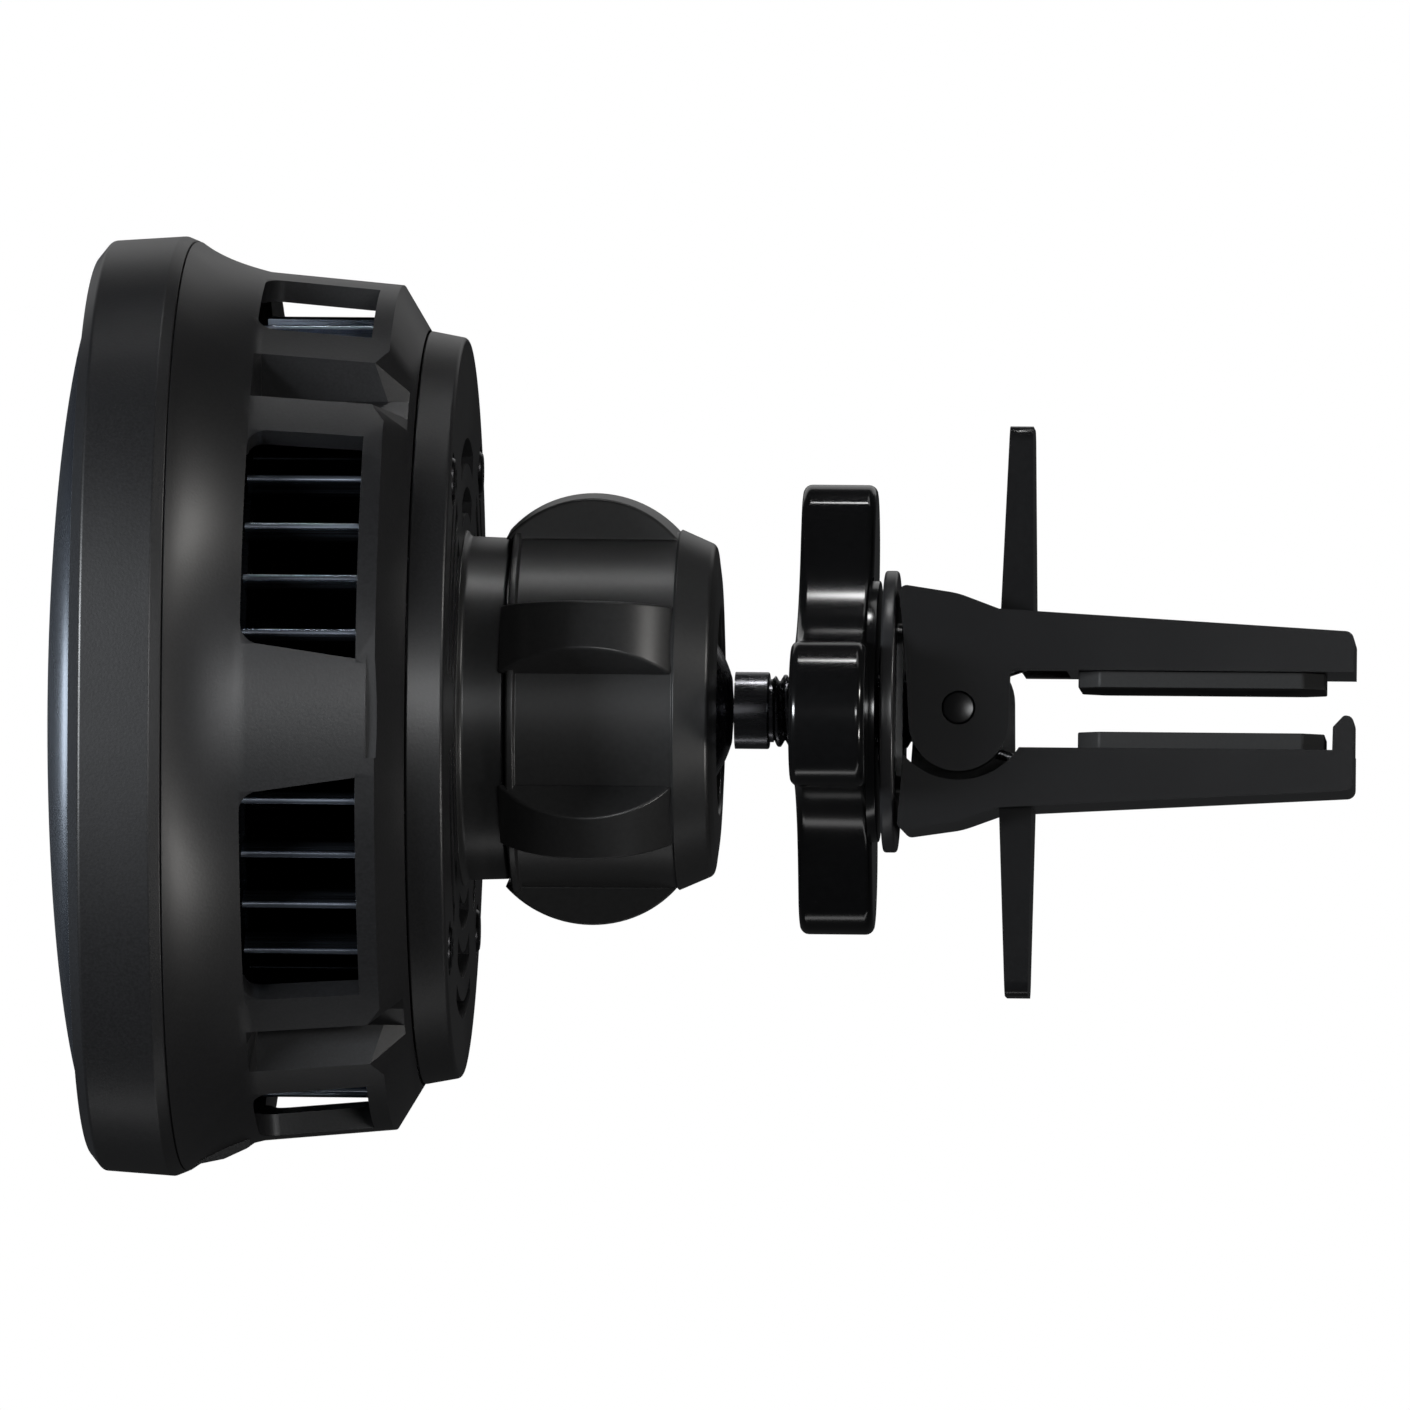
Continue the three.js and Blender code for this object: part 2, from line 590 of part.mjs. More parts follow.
function pivotPin() {
  const bar = turned([[-JAW_HALF, 0], [-JAW_HALF, PIN_R], [JAW_HALF, PIN_R], [JAW_HALF, 0]], 18);
  return solid(bar.rotateZ(Math.PI / 2).translate(PIN_X, 0, 0));
}

// The jaw's outer line at x, between the heel, the wing and the tip.
function jawTop(x) {
  if (x < WING_X[0]) {
    return THREE.MathUtils.mapLinear(x, 20.2, WING_X[0], 8.5, 7.3);
  }
  return THREE.MathUtils.mapLinear(x, WING_X[1], JAW_END, 6.75, 5.5);
}

// The upper jaw. Its near cheek carries the lobe on the pin and its far cheek the round recess;
// the same jaw turned half round the X axis is the lower one.
function jaw() {
  const outer = [[19.9, 8.2], [20.2, jawTop(20.2)], [WING_X[0], jawTop(WING_X[0])],
    [WING_X[1], jawTop(WING_X[1])], [JAW_END - 0.4, jawTop(JAW_END)], [JAW_END, 5.1],
    [JAW_END, JAW_FACE_Z]];
  const lobeCentreZ = LOBE_HALF - 4.4;
  const lobeShape = polygon([...outer, [MOUTH_X, JAW_FACE_Z]]);
  lobeShape.lineTo(PIN_X + LOBE_HALF, lobeCentreZ);
  lobeShape.absarc(PIN_X, lobeCentreZ, LOBE_HALF, 0, Math.PI, true);
  lobeShape.lineTo(20.4, 3.2);
  const recessShape = polygon([...outer, [20.35, JAW_FACE_Z]]);
  const near = solid(alongY(lobeShape, -JAW_HALF, -JAW_HALF + CHEEK, 8));
  const bite = new THREE.Shape();
  bite.absarc(PIN_X, 0, RECESS_R, 0, 2 * Math.PI);
  const far = cut(solid(alongY(recessShape, JAW_HALF - CHEEK, JAW_HALF)), solid(alongY(bite, 0, 9, 12)));
  const beamInner = [[JAW_END, JAW_FACE_Z], [31.5, JAW_FACE_Z], [31.5, jawTop(31.5) - 2.0],
    [WING_X[0], jawTop(WING_X[0]) - 2.0], [20.0, 6.9]];
  const beam = solid(alongY(polygon([...outer.slice(0, -1), ...beamInner]), -JAW_HALF, JAW_HALF));
  const wingSide = polygon([[WING_X[0], 6], [WING_X[1], 6], [WING_X[1], WING_TIP_Z - 0.4],
    [WING_X[1] - 0.4, WING_TIP_Z], [WING_TIP_X + 0.4, WING_TIP_Z], [WING_TIP_X, WING_TIP_Z - 0.4]]);
  const wingFront = polygon([[-WING_HALF[0], 6], [WING_HALF[0], 6], [WING_HALF[1], WING_TIP_Z - 1.2],
    [WING_HALF[1] - 1.2, WING_TIP_Z], [1.2 - WING_HALF[1], WING_TIP_Z], [-WING_HALF[1], WING_TIP_Z - 1.2]]);
  const wing = solid(alongY(wingSide, -9, 9)).intersect(solid(alongX(wingFront, 25, 31)));
  const pinHole = new THREE.Shape();
  pinHole.absarc(PIN_X, 0, PIN_R + GAP, 0, 2 * Math.PI);
  return cut(join(near, far, beam, wing), solid(alongY(pinHole, -9, 0, 7)));
}

function lowerJaw() {
  const hook = solid(box(49.9, JAW_END, -5, 5, -3.5, -0.2));
  return join(jaw().rotate([180, 0, 0]), hook);
}

function gripPad(side) {
  const [x0, x1] = GRIP_PAD_X;
  const w = GRIP_PAD_HALF;
  const chamfer = 1.5;
  const plan = polygon([[x0 + chamfer, -w], [x1 - chamfer, -w], [x1, chamfer - w], [x1, w - chamfer],
    [x1 - chamfer, w], [x0 + chamfer, w], [x0, w - chamfer], [x0, chamfer - w]]);
  const [low, high] = side > 0 ? GRIP_PAD_Z : [-GRIP_PAD_Z[1], -GRIP_PAD_Z[0]];
  return solid(alongZ(plan, low, high));
}

// ---------------------------------------------------------------- assembly
const head = new THREE.Group();
head.rotation.x = HEAD_ROLL * DEG;
head.add(
  piece('front_pad', frontPad(), glossFace()),
  piece('front_housing', frontHousing(), matteShell()),
  piece('rear_housing', rearHousing(), matteShell()),
  piece('rear_cover', rearCover(), matteShell()),
  piece('charging_coil', ring(-36.4, -35.2, 10, 20.4), copper()),
  piece('ferrite_shield', ring(-34.9, -34.3, 0, 21.2), ferrite()),
  piece('magnet_ring', ring(-35.1, -33.3, 23, 27.3, 36), magnet()),
  piece('carrier_tray', carrierTray(), acetal()),
  piece('cold_plate', ring(-31.6, -30.6, 0, 14, 28), steel()),
  piece('peltier_module', solid(box(-30.3, -27.3, -10, 10, -10, 10)), ceramic()),
  piece('control_board', ring(-29.9, -28.9, 15.3, 25.5, 36), board()),
  piece('usb_socket', usbSocket(), steel()),
  piece('heat_sink', heatSink(), gunmetal()),
  piece('fan_frame', fanFrame(), satinBlack()),
  piece('fan_stator', fanStator(), copper()),
  piece('fan_bearing', ring(-22.0, -16.0, SCREW_SHANK_R + 0.25, 2.0, 16), brass()),
  piece('fan_rotor', fanRotor(), satinBlack()),
  piece('fan_magnet', ring(-22.1, -17.0, 6.2, 7.0, 24), magnet()),
  piece('ball_socket', ballSocket(), satinBlack()),
);
COVER_SCREW_ANGLES.forEach((angle, i) => {
  const headX = COVER_BACK + GAP + SCREW_HEAD - SCREW_SINK;
  head.add(piece(`cover_screw_${i + 1}`, screw(angle, COVER_SCREW_R, headX, -15.4), steel()));
});
SOCKET_SCREW_ANGLES.forEach((angle, i) => {
  head.add(piece(`socket_screw_${i + 1}`, screw(angle, SOCKET_SCREW_R, -12.9, -7.9), steel()));
});

const mount = new THREE.Group();
mount.position.x = -GRIP_X;
mount.add(
  head,
  piece('ball', ball(), blackMetal()),
  piece('socket_liner', socketLiner(), acetal()),
  piece('lock_nut', lockNut(), satinBlack()),
  piece('threaded_stud', threadedStud(), blackMetal()),
  piece('knob_insert', ring(KNOB_X[0] + 0.3, HUB_END - 0.2, ...INSERT_R, 20), brass()),
  piece('clamp_knob', clampKnob(), glossBlack()),
  piece('pressure_plate', pressurePlate(), satinBlack()),
  piece('torsion_spring', torsionSpring(), steel()),
  piece('pivot_pin', pivotPin(), steel()),
  piece('upper_jaw', jaw(), glossBlack()),
  piece('lower_jaw', lowerJaw(), glossBlack()),
  piece('upper_grip_pad', gripPad(1), rubber()),
  piece('lower_grip_pad', gripPad(-1), rubber()),
);

const phoneMount = new THREE.Group();
phoneMount.add(mount);

export default phoneMount;
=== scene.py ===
"""Looks of the fan-cooled magnetic phone mount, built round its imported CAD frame.

Pieces are drawn in millimetres from the ball's centre, with X along the stud, and `settle` puts each
one in the row frame in metres. The head's pieces also take the head's small turn about X.
"""

import json
import math

import bmesh
import bpy
from mathutils import Matrix, Vector


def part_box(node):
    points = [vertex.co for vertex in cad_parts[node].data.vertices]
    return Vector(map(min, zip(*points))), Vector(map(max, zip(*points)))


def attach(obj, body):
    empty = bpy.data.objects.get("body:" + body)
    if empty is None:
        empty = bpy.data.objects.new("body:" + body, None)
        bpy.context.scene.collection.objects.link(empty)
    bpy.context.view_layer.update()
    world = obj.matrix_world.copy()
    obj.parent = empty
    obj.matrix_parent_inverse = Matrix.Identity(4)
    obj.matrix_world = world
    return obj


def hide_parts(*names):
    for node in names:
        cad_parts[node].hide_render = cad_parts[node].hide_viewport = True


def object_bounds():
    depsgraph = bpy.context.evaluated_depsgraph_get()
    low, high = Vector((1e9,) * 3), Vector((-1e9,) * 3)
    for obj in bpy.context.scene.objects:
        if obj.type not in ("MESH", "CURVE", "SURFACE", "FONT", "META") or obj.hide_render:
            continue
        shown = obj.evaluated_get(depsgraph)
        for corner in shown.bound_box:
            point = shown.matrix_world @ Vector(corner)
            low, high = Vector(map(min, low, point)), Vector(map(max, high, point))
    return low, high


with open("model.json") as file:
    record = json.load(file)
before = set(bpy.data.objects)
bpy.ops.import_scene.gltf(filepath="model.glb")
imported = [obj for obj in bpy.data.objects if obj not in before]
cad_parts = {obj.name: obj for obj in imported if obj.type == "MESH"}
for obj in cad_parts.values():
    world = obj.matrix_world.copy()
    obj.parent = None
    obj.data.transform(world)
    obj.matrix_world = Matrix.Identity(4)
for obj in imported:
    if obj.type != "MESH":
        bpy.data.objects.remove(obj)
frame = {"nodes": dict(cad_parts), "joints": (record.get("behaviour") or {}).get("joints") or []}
cad_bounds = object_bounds()

MM = 0.001
joints = {joint["name"]: joint for joint in frame["joints"]}
BALL = Vector(joints["swivel"]["pos_m"])
PIN_X = (joints["upper_jaw_pivot"]["pos_m"][0] - BALL.x) / MM
HEAD_ROLL = math.radians(4)


def span(node):
    """Where a CAD node starts and ends along X, in millimetres from the ball's centre."""
    low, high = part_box(node)
    return (low.x - BALL.x) / MM, (high.x - BALL.x) / MM


def reach(node, axis=2):
    """How far a CAD node reaches from the X axis along Y (1) or Z (2), in millimetres."""
    low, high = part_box(node)
    return max(-low[axis], high[axis]) / MM


# ---------------------------------------------------------------- mesh helpers
def rounded(points, closed=False, steps=4):
    """An outline of (a, b) or (a, b, radius) points with an arc at each corner that has a radius."""
    path = []
    count = len(points)
    for i, point in enumerate(points):
        radius = point[2] if len(point) > 2 else 0
        if not radius or (not closed and i in (0, count - 1)):
            path.append(Vector(point[:2]))
            continue
        corner = Vector(point[:2])
        before = (Vector(points[i - 1][:2]) - corner).normalized()
        after = (Vector(points[(i + 1) % count][:2]) - corner).normalized()
        half = before.angle(after) / 2
        centre = corner + (before + after).normalized() * radius / math.sin(half)
        first = corner + before * radius / math.tan(half) - centre
        last = corner + after * radius / math.tan(half) - centre
        sweep = math.atan2(first.cross(last), first.dot(last))
        for k in range(steps + 1):
            path.append(centre + Matrix.Rotation(sweep * k / steps, 2) @ first)
    return path


def arc(centre, radius, start, end, steps):
    """Points on a circle between two angles in degrees."""
    turn = [math.radians(start + (end - start) * k / steps) for k in range(steps + 1)]
    return [Vector((centre[0] + radius * math.cos(a), centre[1] + radius * math.sin(a))) for a in turn]


def squared(angle, power):
    """How much further than a circle a superellipse reaches at an angle."""
    total = abs(math.cos(angle)) ** power + abs(math.sin(angle)) ** power
    return total ** (-1 / power)


def revolve(path, steps=160, closed=False, power_at=None):
    """A surface turned about X from (x, radius) points. power_at gives the outline's exponent at (x, r)."""
    bm = bmesh.new()
    rings = []
    for x, r in path:
        if r < 1e-4:
            rings.append([bm.verts.new((x, 0, 0))])
            continue
        power = power_at(x, r) if power_at else 2
        ring = []
        for k in range(steps):
            a = 2 * math.pi * k / steps
            wide = r * squared(a, power)
            ring.append(bm.verts.new((x, wide * math.cos(a), wide * math.sin(a))))
        rings.append(ring)
    pairs = list(zip(rings, rings[1:]))
    if closed:
        pairs.append((rings[-1], rings[0]))
    for one, two in pairs:
        for k in range(steps):
            n = (k + 1) % steps
            quad = [one[k % len(one)], one[n % len(one)], two[n % len(two)], two[k % len(two)]]
            corners = list(dict.fromkeys(quad))
            if len(corners) > 2:
                bm.faces.new(corners)
    bmesh.ops.recalc_face_normals(bm, faces=bm.faces)
    return bm


PLANES = {
    "x": Matrix(((0, 0, 1, 0), (1, 0, 0, 0), (0, 1, 0, 0), (0, 0, 0, 1))),
    "y": Matrix(((1, 0, 0, 0), (0, 0, -1, 0), (0, 1, 0, 0), (0, 0, 0, 1))),
    "z": Matrix.Identity(4),
}


def prism(outline, axis, low, high):
    """A closed outline pushed along an axis: drawn in (Y, Z), (X, Z) or (X, Y)."""
    bm = bmesh.new()
    ends = (-high, -low) if axis == "y" else (low, high)
    loops = [[bm.verts.new((p[0], p[1], h)) for p in outline] for h in ends]
    count = len(outline)
    bm.faces.new(loops[0])
    bm.faces.new(loops[1])
    for k in range(count):
        n = (k + 1) % count
        bm.faces.new((loops[0][k], loops[0][n], loops[1][n], loops[1][k]))
    bm.transform(PLANES[axis])
    bmesh.ops.recalc_face_normals(bm, faces=bm.faces)
    return bm


def block(x0, x1, y0, y1, z0, z1):
    return prism([(x0, z0), (x1, z0), (x1, z1), (x0, z1)], "y", y0, y1)


def copies(bm, angles):
    """Copies of a mesh that stands on +Z, turned about X to angles counted from -Y upwards, in degrees."""
    made = bmesh.new()
    for angle in angles:
        mesh = bpy.data.meshes.new("copy")
        bm.to_mesh(mesh)
        mesh.transform(Matrix.Rotation(math.radians(90 - angle), 4, "X"))
        made.from_mesh(mesh)
        bpy.data.meshes.remove(mesh)
    return made


def spaced(count, start=0):
    return [start + 360 * k / count for k in range(count)]


def merged(*parts):
    """Several meshes as one, each still closed on its own."""
    made = bmesh.new()
    for bm in parts:
        mesh = bpy.data.meshes.new("part")
        bm.to_mesh(mesh)
        made.from_mesh(mesh)
        bpy.data.meshes.remove(mesh)
    return made


def to_object(name, bm):
    mesh = bpy.data.meshes.new(name)
    bm.to_mesh(mesh)
    obj = bpy.data.objects.new(name, mesh)
    bpy.context.scene.collection.objects.link(obj)
    return obj


def apply_modifiers(obj):
    bpy.context.view_layer.update()
    graph = bpy.context.evaluated_depsgraph_get()
    mesh = bpy.data.meshes.new_from_object(obj.evaluated_get(graph))
    obj.modifiers.clear()
    obj.data = mesh


def combine(obj, bm, operation="DIFFERENCE"):
    """Cuts a mesh away from an object, or joins it on."""
    tool = to_object("tool", bm)
    boolean = obj.modifiers.new("boolean", "BOOLEAN")
    boolean.operation = operation
    boolean.solver = "EXACT"
    boolean.object = tool
    apply_modifiers(obj)
    bpy.data.objects.remove(tool)


def soften(obj, width, segments=3, angle=30, flatten=True):
    """Flat stretches become single faces and every sharp edge gets a small round."""
    if flatten:
        dissolve = obj.modifiers.new("flatten", "DECIMATE")
        dissolve.decimate_type = "DISSOLVE"
        dissolve.angle_limit = math.radians(0.4)
        apply_modifiers(obj)
    bevel = obj.modifiers.new("edges", "BEVEL")
    bevel.width = width
    bevel.segments = segments
    bevel.limit_method = "ANGLE"
    bevel.angle_limit = math.radians(angle)
    bevel.miter_outer = "MITER_ARC"
    bevel.harden_normals = False
    apply_modifiers(obj)


def settle(obj, body, nodes, material, roll=False, smooth=32):
    """Puts a finished piece in the row frame, on its body, in place of its CAD nodes."""
    turn = Matrix.Rotation(HEAD_ROLL if roll else 0, 4, "X")
    obj.data.transform(Matrix.Translation(BALL) @ turn @ Matrix.Scale(MM, 4))
    obj.data.shade_smooth()
    obj.data.set_sharp_from_angle(angle=math.radians(smooth))
    normals = obj.modifiers.new("normals", "WEIGHTED_NORMAL")
    normals.keep_sharp = True
    normals.weight = 90
    apply_modifiers(obj)
    obj.data.materials.clear()
    obj.data.materials.append(material)
    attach(obj, body)
    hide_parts(*nodes)
    return obj


# ---------------------------------------------------------------- materials
class Finish:
    """A node-built material: colour that varies a little, grain in the height and an uneven gloss."""

    def __init__(self, name, roughness, metallic=0.0):
        self.material = bpy.data.materials.new(name)
        self.material.use_nodes = True
        self.nodes = self.material.node_tree.nodes
        self.links = self.material.node_tree.links
        self.shader = self.nodes["Principled BSDF"]
        self.shader.inputs["Metallic"].default_value = metallic
        self.roughness = roughness
        self.place = self.nodes.new("ShaderNodeTexCoord").outputs["Object"]

    def noise(self, scale, detail=3.0):
        node = self.nodes.new("ShaderNodeTexNoise")
        node.inputs["Scale"].default_value = scale
        node.inputs["Detail"].default_value = detail
        self.links.new(self.place, node.inputs["Vector"])
        return node.outputs["Fac"]

    def stretched(self, scale):
        """Noise drawn out by a different amount along each axis, for brushed or turned surfaces."""
        mapping = self.nodes.new("ShaderNodeMapping")
        mapping.inputs["Scale"].default_value = scale
        self.links.new(self.place, mapping.inputs["Vector"])
        node = self.nodes.new("ShaderNodeTexNoise")
        node.inputs["Scale"].default_value = 1.0
        node.inputs["Detail"].default_value = 4.0
        self.links.new(mapping.outputs["Vector"], node.inputs["Vector"])
        return node.outputs["Fac"]

    def ramp(self, value, low, high, dark, light):
        node = self.nodes.new("ShaderNodeMapRange")
        node.inputs["From Min"].default_value = low
        node.inputs["From Max"].default_value = high
        node.inputs["To Min"].default_value = dark
        node.inputs["To Max"].default_value = light
        self.links.new(value, node.inputs["Value"])
        return node.outputs["Result"]

    def colour(self, value, dark, light):
        node = self.nodes.new("ShaderNodeValToRGB")
        node.color_ramp.elements[0].position = 0.3
        node.color_ramp.elements[1].position = 0.7
        node.color_ramp.elements[0].color = (*dark, 1)
        node.color_ramp.elements[1].color = (*light, 1)
        self.links.new(value, node.inputs["Fac"])
        self.links.new(node.outputs["Color"], self.shader.inputs["Base Color"])

    def gloss(self, value, spread):
        low, high = self.roughness - spread, self.roughness + spread
        self.links.new(self.ramp(value, 0.3, 0.7, low, high), self.shader.inputs["Roughness"])

    def bump(self, value, strength, depth):
        node = self.nodes.new("ShaderNodeBump")
        node.inputs["Strength"].default_value = strength
        node.inputs["Distance"].default_value = depth
        self.links.new(value, node.inputs["Height"])
        self.links.new(node.outputs["Normal"], self.shader.inputs["Normal"])


def moulded(name, colour, roughness, grain_scale, grain, variation=0.12, coat=0.0, specular=0.5):
    """Moulded plastic: fine grain in colour, gloss and height."""
    made = Finish(name, roughness)
    fine = made.noise(grain_scale, 2.0)
    broad = made.noise(60.0, 3.0)
    made.colour(fine, [c * (1 - variation) for c in colour], [c * (1 + variation) for c in colour])
    made.gloss(broad, roughness * 0.08)
    made.bump(fine, grain, 0.00002)
    made.shader.inputs["Specular IOR Level"].default_value = specular
    made.shader.inputs["Coat Weight"].default_value = coat
    made.shader.inputs["Coat Roughness"].default_value = 0.05
    return made.material


def depth_shade(made, start, end):
    """Paints shade into a finish's colour: dark near the X axis, where the gaps between the fins lie in
    shade, and full from one radius in metres to another.
    """
    flat = made.nodes.new("ShaderNodeVectorMath")
    flat.operation = "MULTIPLY"
    flat.inputs[1].default_value = (0, 1, 1)
    made.links.new(made.place, flat.inputs[0])
    length = made.nodes.new("ShaderNodeVectorMath")
    length.operation = "LENGTH"
    made.links.new(flat.outputs["Vector"], length.inputs[0])
    share = made.ramp(length.outputs["Value"], start, end, 0.03, 1.0)
    painted_gap_shade = made.nodes.new("ShaderNodeMix")
    painted_gap_shade.data_type = "RGBA"
    painted_gap_shade.blend_type = "MULTIPLY"
    painted_gap_shade.inputs["Factor"].default_value = 1.0
    source = made.shader.inputs["Base Color"].links[0].from_socket
    made.links.new(source, painted_gap_shade.inputs["A"])
    made.links.new(share, painted_gap_shade.inputs["B"])
    made.links.new(painted_gap_shade.outputs["Result"], made.shader.inputs["Base Color"])


def metal(name, colour, roughness, brush, grain=0.15, variation=0.1, depth=None):
    """Metal with a brushed or turned grain, drawn out along the axes whose brush scale is small. A depth,
    when given, paints shade that darkens the colour towards the X axis.
    """
    made = Finish(name, roughness, metallic=1.0)
    lines = made.stretched(brush)
    made.colour(lines, [c * (1 - variation) for c in colour], [min(1, c * (1 + variation)) for c in colour])
    made.gloss(lines, roughness * 0.3)
    made.bump(lines, grain, 0.00001)
    if depth:
        depth_shade(made, *depth)
    return made.material


# ---------------------------------------------------------------- palette
shell_grain = moulded("shell_grain", (0.0085, 0.0085, 0.0091), 0.38, 5200.0, 0.3, variation=0.25)
face_gloss = moulded("face_gloss", (0.006, 0.008, 0.012), 0.26, 900.0, 0.02)
nut_satin = moulded("nut_satin", (0.017, 0.017, 0.0172), 0.35, 3000.0, 0.06)
plate_satin = moulded("plate_satin", (0.015, 0.015, 0.016), 0.32, 3000.0, 0.08)
gloss_black = moulded("gloss_black", (0.003, 0.003, 0.0032), 0.16, 1500.0, 0.02)
jaw_black = moulded("jaw_black", (0.0055, 0.0055, 0.0058), 0.22, 3200.0, 0.04, specular=0.32)
fan_black = moulded("fan_black", (0.01, 0.01, 0.011), 0.4, 3000.0, 0.06)
pad_rubber = moulded("pad_rubber", (0.008, 0.008, 0.008), 0.6, 4200.0, 0.3, specular=0.3)
acetal = moulded("acetal", (0.62, 0.61, 0.57), 0.42, 1500.0, 0.08, variation=0.05)
ceramic = moulded("ceramic", (0.8, 0.79, 0.75), 0.5, 2600.0, 0.15, variation=0.04)
board_green = moulded("board_green", (0.02, 0.12, 0.06), 0.35, 700.0, 0.1, coat=0.3)
ferrite = moulded("ferrite", (0.07, 0.07, 0.08), 0.55, 2600.0, 0.2)
black_metal = metal("black_metal", (0.14, 0.14, 0.15), 0.27, (400, 2500, 2500), grain=0.05)
# The fins' colour carries painted shade: it darkens towards the X axis, standing for the shadow in the gaps
# between them.
fin_aluminium = metal("fin_aluminium", (0.42, 0.48, 0.58), 0.28, (60, 3000, 3000), depth=(0.0252, 0.0268))
aluminium = metal("aluminium", (0.5, 0.52, 0.55), 0.3, (60, 3000, 3000))
steel = metal("steel", (0.5, 0.51, 0.53), 0.26, (3000, 400, 3000))
pin_black = metal("pin_black", (0.03, 0.03, 0.032), 0.3, (3000, 400, 3000))
copper_wire = metal("copper_wire", (0.62, 0.3, 0.14), 0.3, (3000, 3000, 200))
brass_turned = metal("brass_turned", (0.7, 0.52, 0.24), 0.28, (3000, 300, 300))
magnet_nickel = metal("magnet_nickel", (0.6, 0.61, 0.62), 0.2, (500, 500, 500), grain=0.05)


# ---------------------------------------------------------------- head: face and bezel
HEAD_R = reach("front_housing")
FACE_X, PAD_BACK = span("front_pad")
BEZEL_FRONT, BEZEL_BACK = span("front_housing")
COVER_X = span("rear_cover")
CAGE_END = COVER_X[0] - 0.04
PAD_R = 29.6
DOME_RADIUS = 30.3
DOME_HEIGHT = 4.0
BEZEL_POWER = 2.5


def dome_x(radius):
    return FACE_X + DOME_HEIGHT * (1 - math.sqrt(1 - (radius / DOME_RADIUS) ** 2))


def front_pad():
    turns = [math.sin(math.pi / 2 * k / 40) * (PAD_R + 0.15) for k in range(41)]
    outside = [Vector((dome_x(r), r)) for r in turns]
    inside = [Vector((-34.75, PAD_R)), Vector((-35.0, 27.8)), Vector((-37.2, 14.0)), Vector((-37.8, 0))]
    obj = to_object("face_dome", revolve(outside + inside, 192))
    settle(obj, "head", ["front_pad"], face_gloss, roll=True, smooth=40)


def bezel_power(x, r):
    edge = min(1, max(0, (r - PAD_R) / (HEAD_R - 1.6 - PAD_R)))
    return 2 + (BEZEL_POWER - 2) * edge


def front_housing():
    outline = [
        (BEZEL_FRONT, PAD_R + 0.3, 0.12),
        (BEZEL_FRONT, 31.35, 0.12),
        (BEZEL_FRONT + 0.8, 32.35, 0.35),
        (-30.2, HEAD_R - 0.12, 0.35),
        (BEZEL_BACK, 32.35, 0.12),
        (BEZEL_BACK, 31.0),
        (-33.2, 31.0),
        (-33.2, 27.7),
        (-34.4, 27.7),
        (-34.4, PAD_R + 0.3),
    ]
    bm = revolve(rounded(outline, closed=True, steps=4), 256, closed=True, power_at=bezel_power)
    settle(to_object("bezel", bm), "head", ["front_housing"], shell_grain, roll=True)


# ---------------------------------------------------------------- head: slotted cage
CAGE_FRONT = -24.2
WINDOW_END = -16.3
CHAMFER_X = -15.0
WINDOW_CORNER = 1.4
NOTCH_START = -23.7
NOTCH_FLOOR = 27.0
SHELL_WALL = 1.5
DEG_PER_MM = 180 / math.pi / 29.8
WINDOWS = [(9.6, 40.4), (61, 80), (100, 119), (139.6, 170.4)]
NOTCHES = [50.6, 129.4]
SIDE_SLANT = 1.7
NOTCH_TOP = 4.3
RECESS_X = (-15.6, -14.3)
RECESS_Z = (-2.7, 5.1)
RECESS_FLOOR = 29.1
NOTCH_BASE = 2.0
FLARE = (Vector((BEZEL_BACK + 0.12, 32.3)), Vector((-27.5, 31.0)), Vector((CAGE_FRONT, 30.24)))


def cage_radius(x):
    """Outer radius of the cage: a faint taper and then the steep chamfer at its back."""
    if x <= CHAMFER_X:
        return 30.2 + (29.4 - 30.2) * (x + 23.8) / (CHAMFER_X + 23.8)
    return 29.4 + (26.3 - 29.4) * (x - CHAMFER_X) / (CAGE_END - CHAMFER_X)


def flare_points(count):
    a, b, c = FLARE
    return [a.lerp(b, t).lerp(b.lerp(c, t), t) for t in (k / count for k in range(count + 1))]


def cage_columns():
    """Angles of the cage's grid lines, counted from -Y upwards and round."""
    corner = WINDOW_CORNER * DEG_PER_MM
    half = []
    for start, end in WINDOWS:
        half += [start, start + corner, end - corner, end]
    for centre in NOTCHES:
        half += [centre - NOTCH_TOP, centre - NOTCH_BASE, centre + NOTCH_BASE, centre + NOTCH_TOP]
    marks = sorted(set(half + [-a for a in half] + [-180.0, 0.0]))
    columns = []
    for a, b in zip(marks, marks[1:] + [180.0]):
        steps = max(1, round((b - a) / 2.6))
        columns += [a + (b - a) * k / steps for k in range(steps)]
    return columns


def in_notch(angle):
    return any(abs(abs(angle) - centre) < NOTCH_BASE + 0.01 for centre in NOTCHES)


def beside_notch(angle):
    return any(abs(abs(abs(angle) - centre) - NOTCH_TOP) < 0.01 for centre in NOTCHES)


def in_side_panel(angle):
    """Whether a column bounds one of the two plain side panels, which narrow towards the back."""
    return min(abs(abs(angle) - WINDOWS[0][0]), abs(abs(angle) - WINDOWS[3][1])) < 0.01


def slanted(angle):
    towards_side = -SIDE_SLANT if abs(angle) < 90 else SIDE_SLANT
    return math.copysign(towards_side, towards_side * angle)


def window_of(angle):
    """The window that a column between this angle and the next lies in."""
    for start, end in WINDOWS:
        if start - 0.01 < abs(angle) < end + 0.01:
            return start, end
    return None


